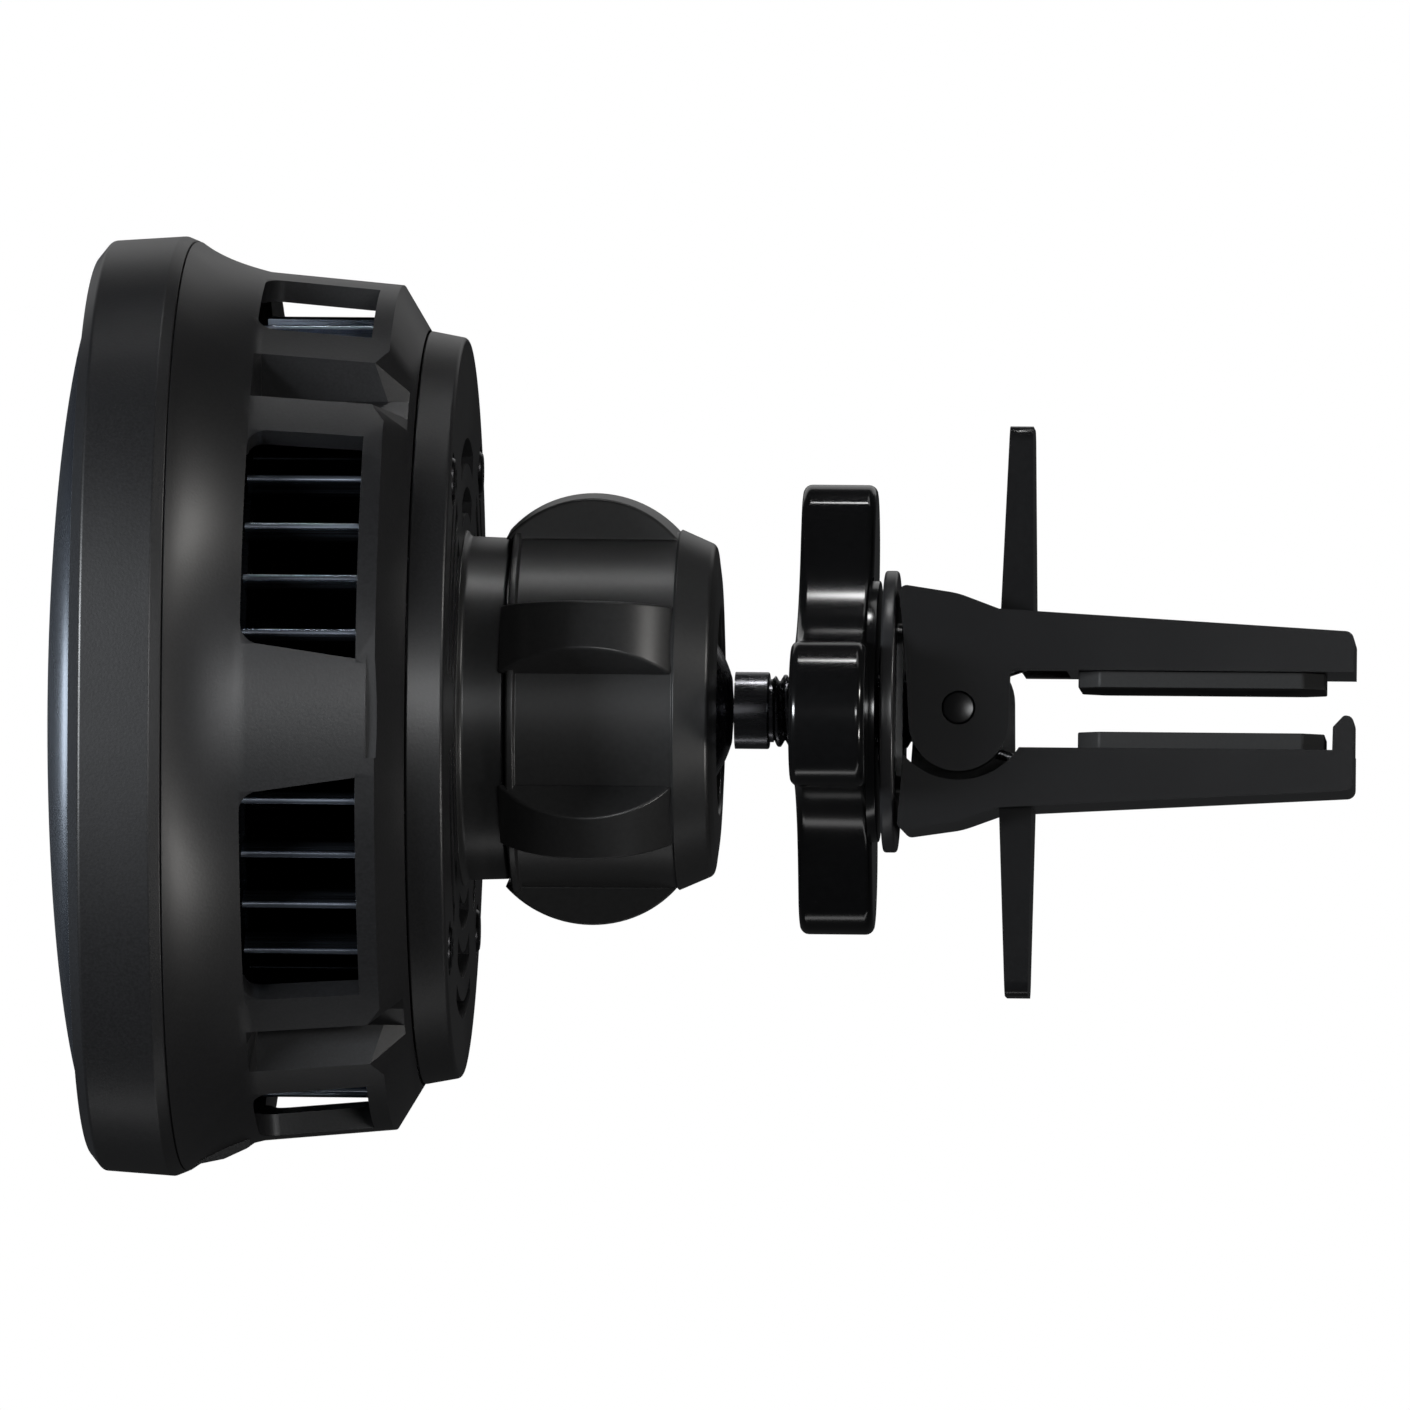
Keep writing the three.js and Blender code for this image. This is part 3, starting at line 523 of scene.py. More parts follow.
def rear_housing():
    """The flare and the cage as one grid of faces, thickened inwards, with its edges rounded."""
    floor_x = CAGE_END - (NOTCH_FLOOR - 26.3) / (29.4 - 26.3) * (CAGE_END - CHAMFER_X)
    corner_x = CAGE_FRONT + WINDOW_CORNER
    cage_x = [NOTCH_START, corner_x, -21.0, -18.8, WINDOW_END, CHAMFER_X, floor_x, CAGE_END]
    rows = [(p.x, p.y) for p in flare_points(12)] + [(x, cage_radius(x)) for x in cage_x]
    first_cage = 12
    columns = cage_columns()
    bm = bmesh.new()
    grid = []
    for index, (x, r) in enumerate(rows):
        ease = max(0.0, (index - first_cage) / -first_cage)
        power = 2 + (BEZEL_POWER - 2) * ease
        line = []
        for angle in columns:
            a = math.radians(angle)
            radius = r * squared(a, power)
            place = x
            if in_notch(angle) and index > first_cage:
                radius = min(radius, NOTCH_FLOOR)
            if x > corner_x and in_side_panel(angle):
                share = min(1, (x - corner_x) / (WINDOW_END - corner_x))
                a = math.radians(angle + share * slanted(angle))
            if beside_notch(angle) and x == CHAMFER_X:
                place = x - 0.9
                radius = cage_radius(place)
            line.append(bm.verts.new((place, -radius * math.cos(a), radius * math.sin(a))))
        grid.append(line)
    last_row = cage_x.index(WINDOW_END) + first_cage + 1
    corner_row = first_cage + 2
    count = len(columns)
    for i in range(len(rows) - 1):
        for k in range(count):
            n = (k + 1) % count
            middle = columns[k] + ((columns[n] - columns[k]) % 360) / 2
            window = window_of(middle)
            if window and first_cage <= i < last_row:
                continue
            bm.faces.new((grid[i][k], grid[i + 1][k], grid[i + 1][n], grid[i][n]))
    for sign in (1, -1):
        for window in WINDOWS:
            for edge, inward in ((window[0], 1), (window[1], -1)):
                add_corner(bm, grid, columns, sign * edge, sign * inward, first_cage, corner_row)
    obj = to_object("cage", bm)
    wall = obj.modifiers.new("wall", "SOLIDIFY")
    wall.thickness = SHELL_WALL
    wall.offset = -1
    apply_modifiers(obj)
    front = BEZEL_BACK + 0.35
    boss = [(front, -29.4), (front, -31.8, 0.15), (-26.7, -31.3, 0.3), (-25.0, -30.5, 0.3), (-24.8, -29.4)]
    combine(obj, prism(rounded(boss, closed=True), "y", -5.9, 5.9), "UNION")
    combine(obj, prism(port_outline(PORT_HOLE, 6), "z", -34, -26))
    for side in (-1, 1):
        near, far = sorted((side * RECESS_FLOOR, side * 31))
        combine(obj, block(*RECESS_X, near, far, *RECESS_Z))
    soften(obj, 0.16, segments=2, angle=28, flatten=False)
    settle(obj, "head", ["rear_housing"], shell_grain, roll=True, smooth=30)


def add_corner(bm, grid, columns, edge, inward, row, corner_row):
    """Fills a window's front corner up to a quarter circle, as a fan of triangles."""
    def column_at(angle):
        return min(range(len(columns)), key=lambda k: abs((columns[k] - angle + 180) % 360 - 180))
    tip = grid[row][column_at(edge)]
    along = grid[corner_row][column_at(edge)]
    across = grid[row][column_at(edge + inward * WINDOW_CORNER * DEG_PER_MM)]
    centre_x = along.co.x
    centre_angle = edge + inward * WINDOW_CORNER * DEG_PER_MM
    path = [along]
    steps = 6
    for k in range(1, steps):
        t = math.pi / 2 * k / steps
        x = centre_x - WINDOW_CORNER * math.sin(t)
        a = math.radians(centre_angle - inward * WINDOW_CORNER * DEG_PER_MM * math.cos(t))
        r = cage_radius(x)
        path.append(bm.verts.new((x, -r * math.cos(a), r * math.sin(a))))
    path.append(across)
    side = grid[row + 1][column_at(edge)]
    fans = [(tip, side, path[0], path[1])] + [(tip, one, two) for one, two in zip(path[1:], path[2:])]
    for corners in fans:
        bm.faces.new(corners if inward > 0 else corners[::-1])


# ---------------------------------------------------------------- head: fins, fan and cover
FIN_COUNT = 44
FIN_THICK = 0.5
FIN_LENGTH = 8.3
FIN_ROOT = 15.6
FIN_TIP = 27.2
FIN_TIP_AT_NOTCH = 25.0
SINK_BASE_X = (-24.9, -24.15)
SINK_BASE_R = 25.2
SINK_CORE_R = 14.4
SINK_X = span("heat_sink")
FIN_END = SINK_X[1]
FIN_START = FIN_END - FIN_LENGTH
COVER_R = reach("rear_cover")
COVER_WALL = 1.3
GRILLE_ROWS = ((13.6, 15.4), (17.0, 18.8), (20.4, 21.6))
GRILLE_ARC = 44
SCREW_CIRCLE = 22.8
SCREW_ANGLES = spaced(4, 45)
SCREW_HEAD_R = 1.6
SCREW_SHANK_R = 0.8


def heat_sink():
    front, back = SINK_BASE_X
    base = [
        (SINK_X[0], 0),
        (SINK_X[0], SINK_CORE_R),
        (front, SINK_CORE_R),
        (front, SINK_BASE_R),
        (back, SINK_BASE_R),
        (back, 0),
    ]
    parts = [revolve(base, 96)]
    half = FIN_THICK / 2
    for angle in spaced(FIN_COUNT, 180 / FIN_COUNT):
        near_notch = any(abs(abs((angle + 180) % 360 - 180) - centre) < 6.2 for centre in NOTCHES)
        tip = FIN_TIP_AT_NOTCH if near_notch else FIN_TIP
        outline = [
            (-half, FIN_ROOT),
            (half, FIN_ROOT),
            (half, tip, half * 0.8),
            (-half, tip, half * 0.8),
        ]
        fin = prism(rounded(outline, closed=True, steps=4), "x", FIN_START, FIN_END)
        parts.append(copies(fin, [angle]))
    obj = to_object("fin_ring", merged(*parts))
    settle(obj, "head", ["heat_sink"], fin_aluminium, roll=True, smooth=40)


def rear_cover():
    front, back = COVER_X
    plate = back - COVER_WALL
    outline = [
        (front, COVER_R, 0.15),
        (back, 25.75, 0.35),
        (back, 0),
    ]
    inside = [(plate, 0), (plate, 24.4), (front, 25.0)]
    profile = rounded([(front, 25.0)] + outline, steps=4)[1:] + [Vector(p) for p in inside]
    obj = to_object("back_cover", revolve(profile, 192))
    arcs = []
    for start in spaced(6, 8):
        end = start + GRILLE_ARC
        every_other = (start // 60) % 2
        for inner, outer in GRILLE_ROWS[:2] if every_other else GRILLE_ROWS:
            path = arc((0, 0), outer, start, end, 14) + arc((0, 0), inner, end, start, 14)
            arcs.append(prism(path, "x", plate - 1, back + 1))
    combine(obj, merged(*arcs))
    sinks = revolve([(back - 0.8, 0), (back - 0.8, 1.9), (back + 1, 1.9), (back + 1, 0)], 24)
    bmesh.ops.translate(sinks, verts=sinks.verts, vec=(0, 0, SCREW_CIRCLE))
    combine(obj, copies(sinks, SCREW_ANGLES))
    soften(obj, 0.14, segments=2, angle=35)
    settle(obj, "head", ["rear_cover"], shell_grain, roll=True)


def screws():
    """Cross-head screws in the cover's counterbores."""
    for number, angle in enumerate(SCREW_ANGLES, 1):
        node = f"cover_screw_{number}"
        tip, head = span(node)
        outline = [
            (head, 0),
            (head, 1.35, 0.3),
            (head - 0.35, SCREW_HEAD_R, 0.1),
            (head - 0.7, SCREW_HEAD_R),
            (head - 0.7, SCREW_SHANK_R),
            (tip + 0.5, SCREW_SHANK_R),
            (tip, 0.4),
            (tip, 0),
        ]
        bm = revolve(rounded(outline, steps=3), 40)
        obj = to_object(f"grille_screw_{number}", bm)
        for turn in (0, 90):
            slot = block(head - 0.45, head + 1, -0.2, 0.2, -0.95, 0.95)
            bmesh.ops.rotate(slot, verts=slot.verts, matrix=Matrix.Rotation(math.radians(turn), 3, "X"))
            combine(obj, slot)
        obj.data.transform(Matrix.Translation((0, 0, SCREW_CIRCLE)))
        obj.data.transform(Matrix.Rotation(math.radians(90 - angle), 4, "X"))
        settle(obj, "head", [node], pin_black, roll=True)


BLADE_COUNT = 9
BLADE_X = -19.6
BLADE_ROOT_R = 8.0
BLADE_TIP_R = 14.5
BLADE_CHORD = 6.4
BLADE_HALF = 0.28
BLADE_BOW = 0.6
BLADE_PITCH = (42, 30)
HUB_R = 8.2
HUB_BORE = 7.3
SHAFT_R = 0.8


def fan_rotor():
    front, back = span("fan_rotor")
    hub = [
        (front, 0),
        (front, 7.6, 0.5),
        (front + 0.8, HUB_R, 0.4),
        (back, HUB_R, 0.2),
        (back, HUB_BORE, 0.2),
        (front + 1.1, HUB_BORE),
        (front + 1.1, SHAFT_R),
        (back - 0.6, SHAFT_R),
        (back - 0.6, 0),
    ]
    wheel = revolve(rounded(hub, steps=3), 72)
    obj = to_object("fan_wheel", merged(wheel, copies(fan_blade(), spaced(BLADE_COUNT))))
    settle(obj, "fan", ["fan_rotor"], fan_black, roll=True, smooth=40)


def fan_blade():
    """A thin curved blade that stands on +Z, twisting from the hub to its tip."""
    bm = bmesh.new()
    rows = []
    steps = 6
    for i in range(steps + 1):
        out = i / steps
        r = BLADE_ROOT_R + (BLADE_TIP_R - BLADE_ROOT_R) * out
        pitch = math.radians(BLADE_PITCH[0] + (BLADE_PITCH[1] - BLADE_PITCH[0]) * out)
        row = []
        for side, order in ((BLADE_HALF, range(steps + 1)), (-BLADE_HALF, range(steps, -1, -1))):
            for k in order:
                along = (k / steps - 0.5) * BLADE_CHORD
                bow = BLADE_BOW * (1 - (2 * k / steps - 1) ** 2) + side
                x = along * math.cos(pitch) - bow * math.sin(pitch)
                y = along * math.sin(pitch) + bow * math.cos(pitch)
                row.append(bm.verts.new((BLADE_X + x, y, r)))
        rows.append(row)
    for one, two in zip(rows, rows[1:]):
        for k in range(len(one)):
            n = (k + 1) % len(one)
            bm.faces.new((one[k], one[n], two[n], two[k]))
    bm.faces.new(rows[0])
    bm.faces.new(rows[-1])
    bmesh.ops.recalc_face_normals(bm, faces=bm.faces)
    return bm


PORT_X = -26.85
PORT_MOUTH = -30.2
PORT_DEPTH = 5.8
PORT_SHELL = (1.55, 4.45, 1.5)
PORT_BORE = (1.3, 4.2, 1.25)
PORT_HOLE = (1.8, 4.75, 1.5)


def port_outline(size, steps):
    """A round-cornered oblong at the inlet, in (X, Y), from its half sizes and corner radius."""
    x, y, radius = size
    corners = ((-x, -y), (x, -y), (x, y), (-x, y))
    return rounded([(PORT_X + a, b, radius) for a, b in corners], closed=True, steps=steps)


def usb_socket():
    mid, mouth = PORT_X, PORT_MOUTH
    obj = to_object("port_shell", prism(port_outline(PORT_SHELL, 8), "z", mouth, mouth + PORT_DEPTH))
    combine(obj, prism(port_outline(PORT_BORE, 8), "z", mouth - 1, mouth + 5.2))
    tongue = block(mid - 0.35, mid + 0.35, -3.3, 3.3, mouth + 0.7, mouth + 5.5)
    combine(obj, tongue, "UNION")
    soften(obj, 0.06, segments=2, angle=40)
    settle(obj, "head", ["usb_socket"], steel, roll=True)


# ---------------------------------------------------------------- ball joint
BALL_R = reach("ball", 1)
BALL_FLAT_R = 2.3
BALL_FLAT_X = 8.25
NUT_X = span("lock_nut")
NUT_R = 12.7
RIB_COUNT = 6
RIB_HALF_WIDTHS = (2.6, 1.8)
RIB_ARC = 7.85
RIB_BASE = 12.1
RIB_APEX = (-1.57, 14.95)
RIB_START = 20.5
COLLAR_R = reach("ball_socket", 1)
FINGER_R = 11.1
SEAT_R = 9.95


def ball_socket():
    base, mouth = span("ball_socket")
    collar_end = NUT_X[0] - 0.2
    seat = [Vector((-p.x, p.y)) for p in arc((0, 0), SEAT_R, 90, 28, 10)]
    foot = COVER_X[1] - 0.05
    outline = [
        (foot, 0),
        (foot, COLLAR_R + 0.75, 0.1),
        (foot + 0.4, COLLAR_R + 0.1, 0.35),
        (collar_end, COLLAR_R, 0.25),
        (collar_end, FINGER_R),
        (mouth, FINGER_R, 0.3),
        (mouth, SEAT_R, 0.2),
        (0.0, SEAT_R),
    ]
    path = rounded(outline, steps=4) + seat[1:] + [Vector((-8.8, 0))]
    obj = to_object("collar", revolve(path, 128))
    slit = block(-3.5, mouth + 1, -0.6, 0.6, 8, 14)
    combine(obj, copies(slit, spaced(4, 45)))
    settle(obj, "head", ["ball_socket"], nut_satin, roll=True)


def lock_nut():
    left, right = NUT_X
    outline = [
        (left, 11.5, 0.1),
        (left, NUT_R + 0.12, 0.15),
        (left + 0.5, NUT_R + 0.12, 0.1),
        (left + 0.6, NUT_R - 0.3, 0.1),
        (4.4, NUT_R - 0.3, 0.05),
        (4.55, NUT_R - 0.15, 0.05),
        (6.95, 11.5, 0.55),
        (right - 0.28, 9.9, 0.8),
        (right - 0.1, 6.9, 0.25),
        (6.6, 7.5),
        (5.0, 8.66),
        (3.4, 9.4),
        (3.4, 11.5),
    ]
    obj = to_object("ribbed_nut", revolve(rounded(outline, closed=True, steps=5), 180, closed=True))
    centre = (RIB_APEX[0], RIB_APEX[1] - RIB_ARC)
    sweep = math.degrees(math.acos((RIB_BASE - centre[1]) / RIB_ARC))
    segment = arc(centre, RIB_ARC, 90 - sweep, 90 + sweep, 28)
    rib = to_object("rib", prism(segment, "y", -1, 1))
    for vertex in rib.data.vertices:
        share = (vertex.co.z - RIB_BASE) / (RIB_APEX[1] - RIB_BASE)
        vertex.co.y *= RIB_HALF_WIDTHS[0] + (RIB_HALF_WIDTHS[1] - RIB_HALF_WIDTHS[0]) * share
    soften(rib, 0.2, segments=3, angle=50, flatten=False)
    shape = bmesh.new()
    shape.from_mesh(rib.data)
    bpy.data.objects.remove(rib)
    combine(obj, copies(shape, spaced(RIB_COUNT, RIB_START)), "UNION")
    settle(obj, "lock_nut", ["lock_nut"], nut_satin)


def ball_piece():
    flat = math.degrees(math.asin(BALL_FLAT_R / BALL_R))
    path = [Vector((BALL_FLAT_X, 0))] + arc((0, 0), BALL_R, flat, 180, 60)
    obj = to_object("ball_head", revolve(path, 96))
    settle(obj, "ball", ["ball"], black_metal, smooth=40)


# ---------------------------------------------------------------- stud, knob and plate
THREAD_START = 10.9
THREAD_PITCH = 0.8
THREAD_CREST = 2.52
THREAD_ROOT = 2.0
THREAD_STEP = 0.08
THREAD_SIDES = 40
NECK_R = 2.68
UNDERCUT_R = 2.2
EYE_R = 2.85
EYE_BORE = 1.25
EYE_HALF = 1.6


def threaded_stud():
    """The neck and its undercut turned, the thread cut as a real helix, and the eye on the pin."""
    outline = [
        (8.32, 0),
        (8.32, NECK_R),
        (10.7, NECK_R, 0.15),
        (10.75, UNDERCUT_R),
        (THREAD_START + 0.1, UNDERCUT_R),
        (THREAD_START + 0.1, 0),
    ]
    neck = rounded(outline, steps=4)
    thread = bmesh.new()
    start, end = THREAD_START - 0.2, PIN_X - 2.4
    rows = int((end - THREAD_START) / THREAD_STEP)
    rings = []
    for i in range(rows + 1):
        x = start + (end - start) * i / rows
        ring = []
        for k in range(THREAD_SIDES):
            a = 2 * math.pi * k / THREAD_SIDES
            phase = (x / THREAD_PITCH - k / THREAD_SIDES) % 1
            height = min(1, 1.35 * (1 - abs(2 * phase - 1)))
            taper = min(1, i / 6)
            r = THREAD_ROOT + (THREAD_CREST - THREAD_ROOT) * height * taper
            ring.append(thread.verts.new((x, r * math.cos(a), r * math.sin(a))))
        rings.append(ring)
    for one, two in zip(rings, rings[1:]):
        for k in range(THREAD_SIDES):
            n = (k + 1) % THREAD_SIDES
            thread.faces.new((one[k], one[n], two[n], two[k]))
    thread.faces.new(rings[0])
    thread.faces.new(rings[-1])
    bmesh.ops.recalc_face_normals(thread, faces=thread.faces)
    eye = to_object("eye", prism(arc((PIN_X, 0), EYE_R, 0, 354, 59), "y", -EYE_HALF, EYE_HALF))
    combine(eye, prism(arc((PIN_X, 0), EYE_BORE, 0, 350, 35), "y", -3, 3))
    soften(eye, 0.2, segments=2, angle=50)
    shape = bmesh.new()
    shape.from_mesh(eye.data)
    bpy.data.objects.remove(eye)
    obj = to_object("stud", merged(revolve(neck, 72), thread, shape))
    settle(obj, "stud", ["threaded_stud"], black_metal, smooth=35)


KNOB_X = span("clamp_knob")
LOBE_COUNT = 3
KNOB_LOBE_AT = 12.25
KNOB_LOBE_R = 5.1
KNOB_START = 183.5
VALLEY_R = 7.5
HUB_X = KNOB_X[1] - 0.5
HUB_FACE_R = 9.1
KNOB_EDGE = 0.62
KNOB_BORE = 4.5


def knob_outline():
    """Three round lobes joined by hollow arcs that touch both neighbours."""
    half = math.pi / LOBE_COUNT
    side, drop = KNOB_LOBE_AT * math.sin(half), KNOB_LOBE_AT * math.cos(half)
    slack = KNOB_LOBE_R - VALLEY_R
    valley_at = (side ** 2 + drop ** 2 - slack ** 2) / (2 * (drop + slack))
    meet = math.degrees(math.atan2(side, valley_at - drop))
    path = []
    for i in range(LOBE_COUNT):
        lobe = KNOB_START + 360 * i / LOBE_COUNT
        valley = lobe + 180 / LOBE_COUNT
        sweep = 180 - meet - 180 / LOBE_COUNT
        at = Matrix.Rotation(math.radians(lobe), 2) @ Vector((KNOB_LOBE_AT, 0))
        path += arc(at, KNOB_LOBE_R, lobe - sweep, lobe + sweep, 26)[:-1]
        at = Matrix.Rotation(math.radians(valley), 2) @ Vector((valley_at, 0))
        path += arc(at, valley_at - VALLEY_R, valley + 180 + meet, valley + 180 - meet, 16)[:-1]
    return path


def bore_tool(start, end, radius):
    """A round bar along X that runs 1 mm past both ends of a bore."""
    return revolve([(start - 1, 0), (start - 1, radius), (end + 1, radius), (end + 1, 0)], 64)


def clamp_knob():
    obj = to_object("trefoil_knob", prism(knob_outline(), "x", KNOB_X[0], HUB_X))
    soften(obj, KNOB_EDGE, segments=5, angle=60, flatten=False)
    start, end = HUB_X - 0.2, KNOB_X[1]
    hub = rounded([(start, 0), (start, HUB_FACE_R), (end, HUB_FACE_R, 0.12), (end, 0)], steps=3)
    combine(obj, revolve(hub, 128), "UNION")
    combine(obj, bore_tool(*KNOB_X, KNOB_BORE))
    settle(obj, "knob", ["clamp_knob"], gloss_black, smooth=35)


def knob_insert():
    start, end = span("knob_insert")
    front, bore, outer = start - 0.1, 2.7, KNOB_BORE - 0.05
    outline = [(front, bore, 0.15), (front, outer, 0.2), (end, outer, 0.1), (end, bore, 0.1)]
    obj = to_object("insert", revolve(rounded(outline, closed=True, steps=3), 64, closed=True))
    settle(obj, "knob", ["knob_insert"], black_metal)


PLATE_BORE = 2.9
BOSS_HALF = (4.2, 6.0)


def pressure_plate():
    """The disc that pushes on the jaws, with the boss that fills the space between their cheeks."""
    start, end = span("pressure_plate")
    r = reach("pressure_plate", 1)
    back = end + 0.12
    outline = [(start, PLATE_BORE, 0.1), (start, r, 0.2), (back, r, 0.22), (back, PLATE_BORE, 0.1)]
    obj = to_object("thrust_plate", revolve(rounded(outline, closed=True, steps=4), 144, closed=True))
    y, z = BOSS_HALF
    boss = [(-y, -z, 1.5), (y, -z, 1.5), (y, z, 1.5), (-y, z, 1.5)]
    combine(obj, prism(rounded(boss, closed=True, steps=6), "x", back - 0.3, back + 0.45), "UNION")
    combine(obj, bore_tool(start, back, PLATE_BORE))
    settle(obj, "plate", ["pressure_plate"], plate_satin)


# ---------------------------------------------------------------- clip
JAW_END = span("upper_jaw")[1]
JAW_HALF = reach("upper_jaw", 1)
JAW_FACE = 2.7
CHEEK = 2.4
MOUTH_X = 27.6
LOBE_HALF = 3.45
LOBE_REACH = 4.4
RECESS_R = 5.0
PIN_HOLE_R = 1.17
POCKETS_X = ((33.0, 37.4), (38.4, 42.8), (43.8, 48.2))
POCKETS_Y = ((-5.52, -0.8), (0.8, 5.52))
WING_TIP = reach("upper_jaw")
WING_BASE = (26.85, 29.15)
WING_END = (27.35, 28.95)


def jaw_top(x):
    """Height of the jaw's outer line, which kinks at the wing."""
    if x < WING_BASE[0]:
        return 8.5 + (7.3 - 8.5) * (x - 20.2) / (WING_BASE[0] - 20.2)
    return 6.75 + (5.5 - 6.75) * (x - WING_BASE[1]) / (JAW_END - WING_BASE[1])


def jaw_outline(inner):
    """The outer line from the heel over the top to the tip, closed by the given inner line."""
    heel = [(19.88, 8.55, 0.5), (24.0, jaw_top(24.0) + 0.12, 6.0)]
    back = [(WING_BASE[0], jaw_top(WING_BASE[0])), (WING_BASE[1], jaw_top(WING_BASE[1]))]
    tip = [(JAW_END, jaw_top(JAW_END), 0.6), (JAW_END, JAW_FACE)]
    return rounded(heel + back + tip + inner, closed=True, steps=6)


def jaw_body():
    """One jaw, drawn as the upper one: near cheek with its lobe, recessed far cheek, beam and wing."""
    low = LOBE_HALF - LOBE_REACH
    lobe = [tuple(p) for p in arc((PIN_X, low), LOBE_HALF, 0, -180, 24)]
    near = jaw_outline([(MOUTH_X, JAW_FACE, 0.3)] + lobe + [(20.4, 3.2, 1.0)])
    obj = to_object("jaw", prism(near, "y", -JAW_HALF, CHEEK - JAW_HALF))
    far = to_object("far", prism(jaw_outline([(20.35, JAW_FACE, 0.2)]), "y", JAW_HALF - CHEEK, JAW_HALF))
    combine(far, prism(arc((PIN_X, 0), RECESS_R, 0, 355, 71), "y", 0, 9))
    beam = jaw_outline([
        (31.5, JAW_FACE),
        (31.5, jaw_top(31.5) - 2.0, 0.4),
        (WING_BASE[0], jaw_top(WING_BASE[0]) - 2.0),
        (20.0, 6.9),
    ])
    combine(obj, prism(beam, "y", -JAW_HALF, JAW_HALF), "UNION")
    mesh = bmesh.new()
    mesh.from_mesh(far.data)
    bpy.data.objects.remove(far)
    combine(obj, mesh, "UNION")
    combine(obj, wing(), "UNION")
    for across in POCKETS_X:
        for deep in POCKETS_Y:
            combine(obj, block(*across, *deep, JAW_FACE - 1, JAW_FACE + 1.2))
    return obj


def wing():
    (b0, b1), (t0, t1) = WING_BASE, WING_END
    side = to_object("wing", prism([(b0, 6), (b1, 6), (t1, WING_TIP), (t0, WING_TIP)], "y", -9, 9))
    face = rounded([(-5.0, 6), (5.0, 6), (3.6, WING_TIP, 1.2), (-3.6, WING_TIP, 1.2)], closed=True, steps=6)
    tool = to_object("front", prism(face, "x", 25, 32))
    both = side.modifiers.new("both", "BOOLEAN")
    both.operation = "INTERSECT"
    both.solver = "EXACT"
    both.object = tool
    apply_modifiers(side)
    bm = bmesh.new()
    bm.from_mesh(side.data)
    bpy.data.objects.remove(side)
    bpy.data.objects.remove(tool)
    return bm


def drill_pin(obj):
    """The near cheek's hole: the far cheek's recess is already open."""
    combine(obj, prism(arc((PIN_X, 0), PIN_HOLE_R, 0, 350, 35), "y", -9, 0))


def upper_jaw():
    obj = jaw_body()
    drill_pin(obj)
    soften(obj, 0.22, segments=3, angle=32)
    obj.name = "clip_jaw_upper"
    settle(obj, "upper_jaw", ["upper_jaw"], jaw_black)


def lower_jaw():
    obj = jaw_body()
    drill_pin(obj)
    obj.data.transform(Matrix.Rotation(math.pi, 4, "X"))
    hook = [(49.9, -3.5), (JAW_END, -3.5), (JAW_END, -0.2, 0.5), (50.7, -0.2, 0.3), (49.95, -1.0, 0.2)]
    combine(obj, prism(rounded(hook, closed=True, steps=4), "y", -5, 5), "UNION")
    soften(obj, 0.22, segments=3, angle=32)
    obj.name = "clip_jaw_lower"
    settle(obj, "lower_jaw", ["lower_jaw"], jaw_black)


def grip_pads():
    start, end = span("upper_grip_pad")
    half = reach("upper_grip_pad", 1)
    thin = abs(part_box("upper_grip_pad")[0].z) / MM
    plan = rounded([
        (start + 1.5, -half, 0.4), (end - 1.5, -half, 0.4), (end, 1.5 - half, 0.4), (end, half - 1.5, 0.4),
        (end - 1.5, half, 0.4), (start + 1.5, half, 0.4), (start, half - 1.5, 0.4), (start, 1.5 - half, 0.4),
    ], closed=True, steps=4)
    for side, body in ((1, "upper"), (-1, "lower")):
        obj = to_object(f"rubber_pad_{body}", prism(plan, "z", thin, JAW_FACE - 0.02))
        soften(obj, 0.09, segments=2, angle=40)
        if side < 0:
            obj.data.transform(Matrix.Rotation(math.pi, 4, "X"))
        settle(obj, f"{body}_jaw", [f"{body}_grip_pad"], pad_rubber)


PIN_R = 1.1
WIRE_R = 0.3
WIRE_SIDES = 14


def pivot_pin():
    end = JAW_HALF - 0.04
    outline = [(-end, 0), (-end, PIN_R, 0.12), (end, PIN_R, 0.12), (end, 0)]
    obj = to_object("hinge_pin", revolve(rounded(outline, steps=3), 48))
    obj.data.transform(Matrix.Translation((PIN_X, 0, 0)) @ Matrix.Rotation(math.pi / 2, 4, "Z"))
    settle(obj, "stud", ["pivot_pin"], jaw_black)


def torsion_spring():
    """The coil beside the eye with a leg under each jaw, as a round wire along one smooth path."""
    turns, mean, leg_end = 2.5, 2.0, PIN_X + 5.2
    y0, y1 = 2.3, 4.4
    points = [Vector((leg_end, y0, 3.6)), Vector((PIN_X + 2.6, y0, 2.7))]
    for k in range(61):
        a = math.pi / 2 - turns * 2 * math.pi * k / 60
        points.append(Vector((PIN_X + mean * math.cos(a), y0 + (y1 - y0) * k / 60, mean * math.sin(a))))
    points += [Vector((PIN_X + 2.6, y1, -2.7)), Vector((leg_end, y1, -3.6))]
    bm = bmesh.new()
    rings = []
    for i, point in enumerate(points):
        ahead = (points[min(i + 1, len(points) - 1)] - points[max(i - 1, 0)]).normalized()
        side = ahead.cross(Vector((0, 1, 0))).normalized()
        up = side.cross(ahead)
        turn = [2 * math.pi * k / WIRE_SIDES for k in range(WIRE_SIDES)]
        rings.append([bm.verts.new(point + (side * math.cos(a) + up * math.sin(a)) * WIRE_R) for a in turn])
    for one, two in zip(rings, rings[1:]):
        for k in range(WIRE_SIDES):
            n = (k + 1) % WIRE_SIDES
            bm.faces.new((one[k], one[n], two[n], two[k]))
    bm.faces.new(rings[0])
    bm.faces.new(rings[-1])
    bmesh.ops.recalc_face_normals(bm, faces=bm.faces)
    settle(to_object("spring", bm), "stud", ["torsion_spring"], steel, smooth=40)


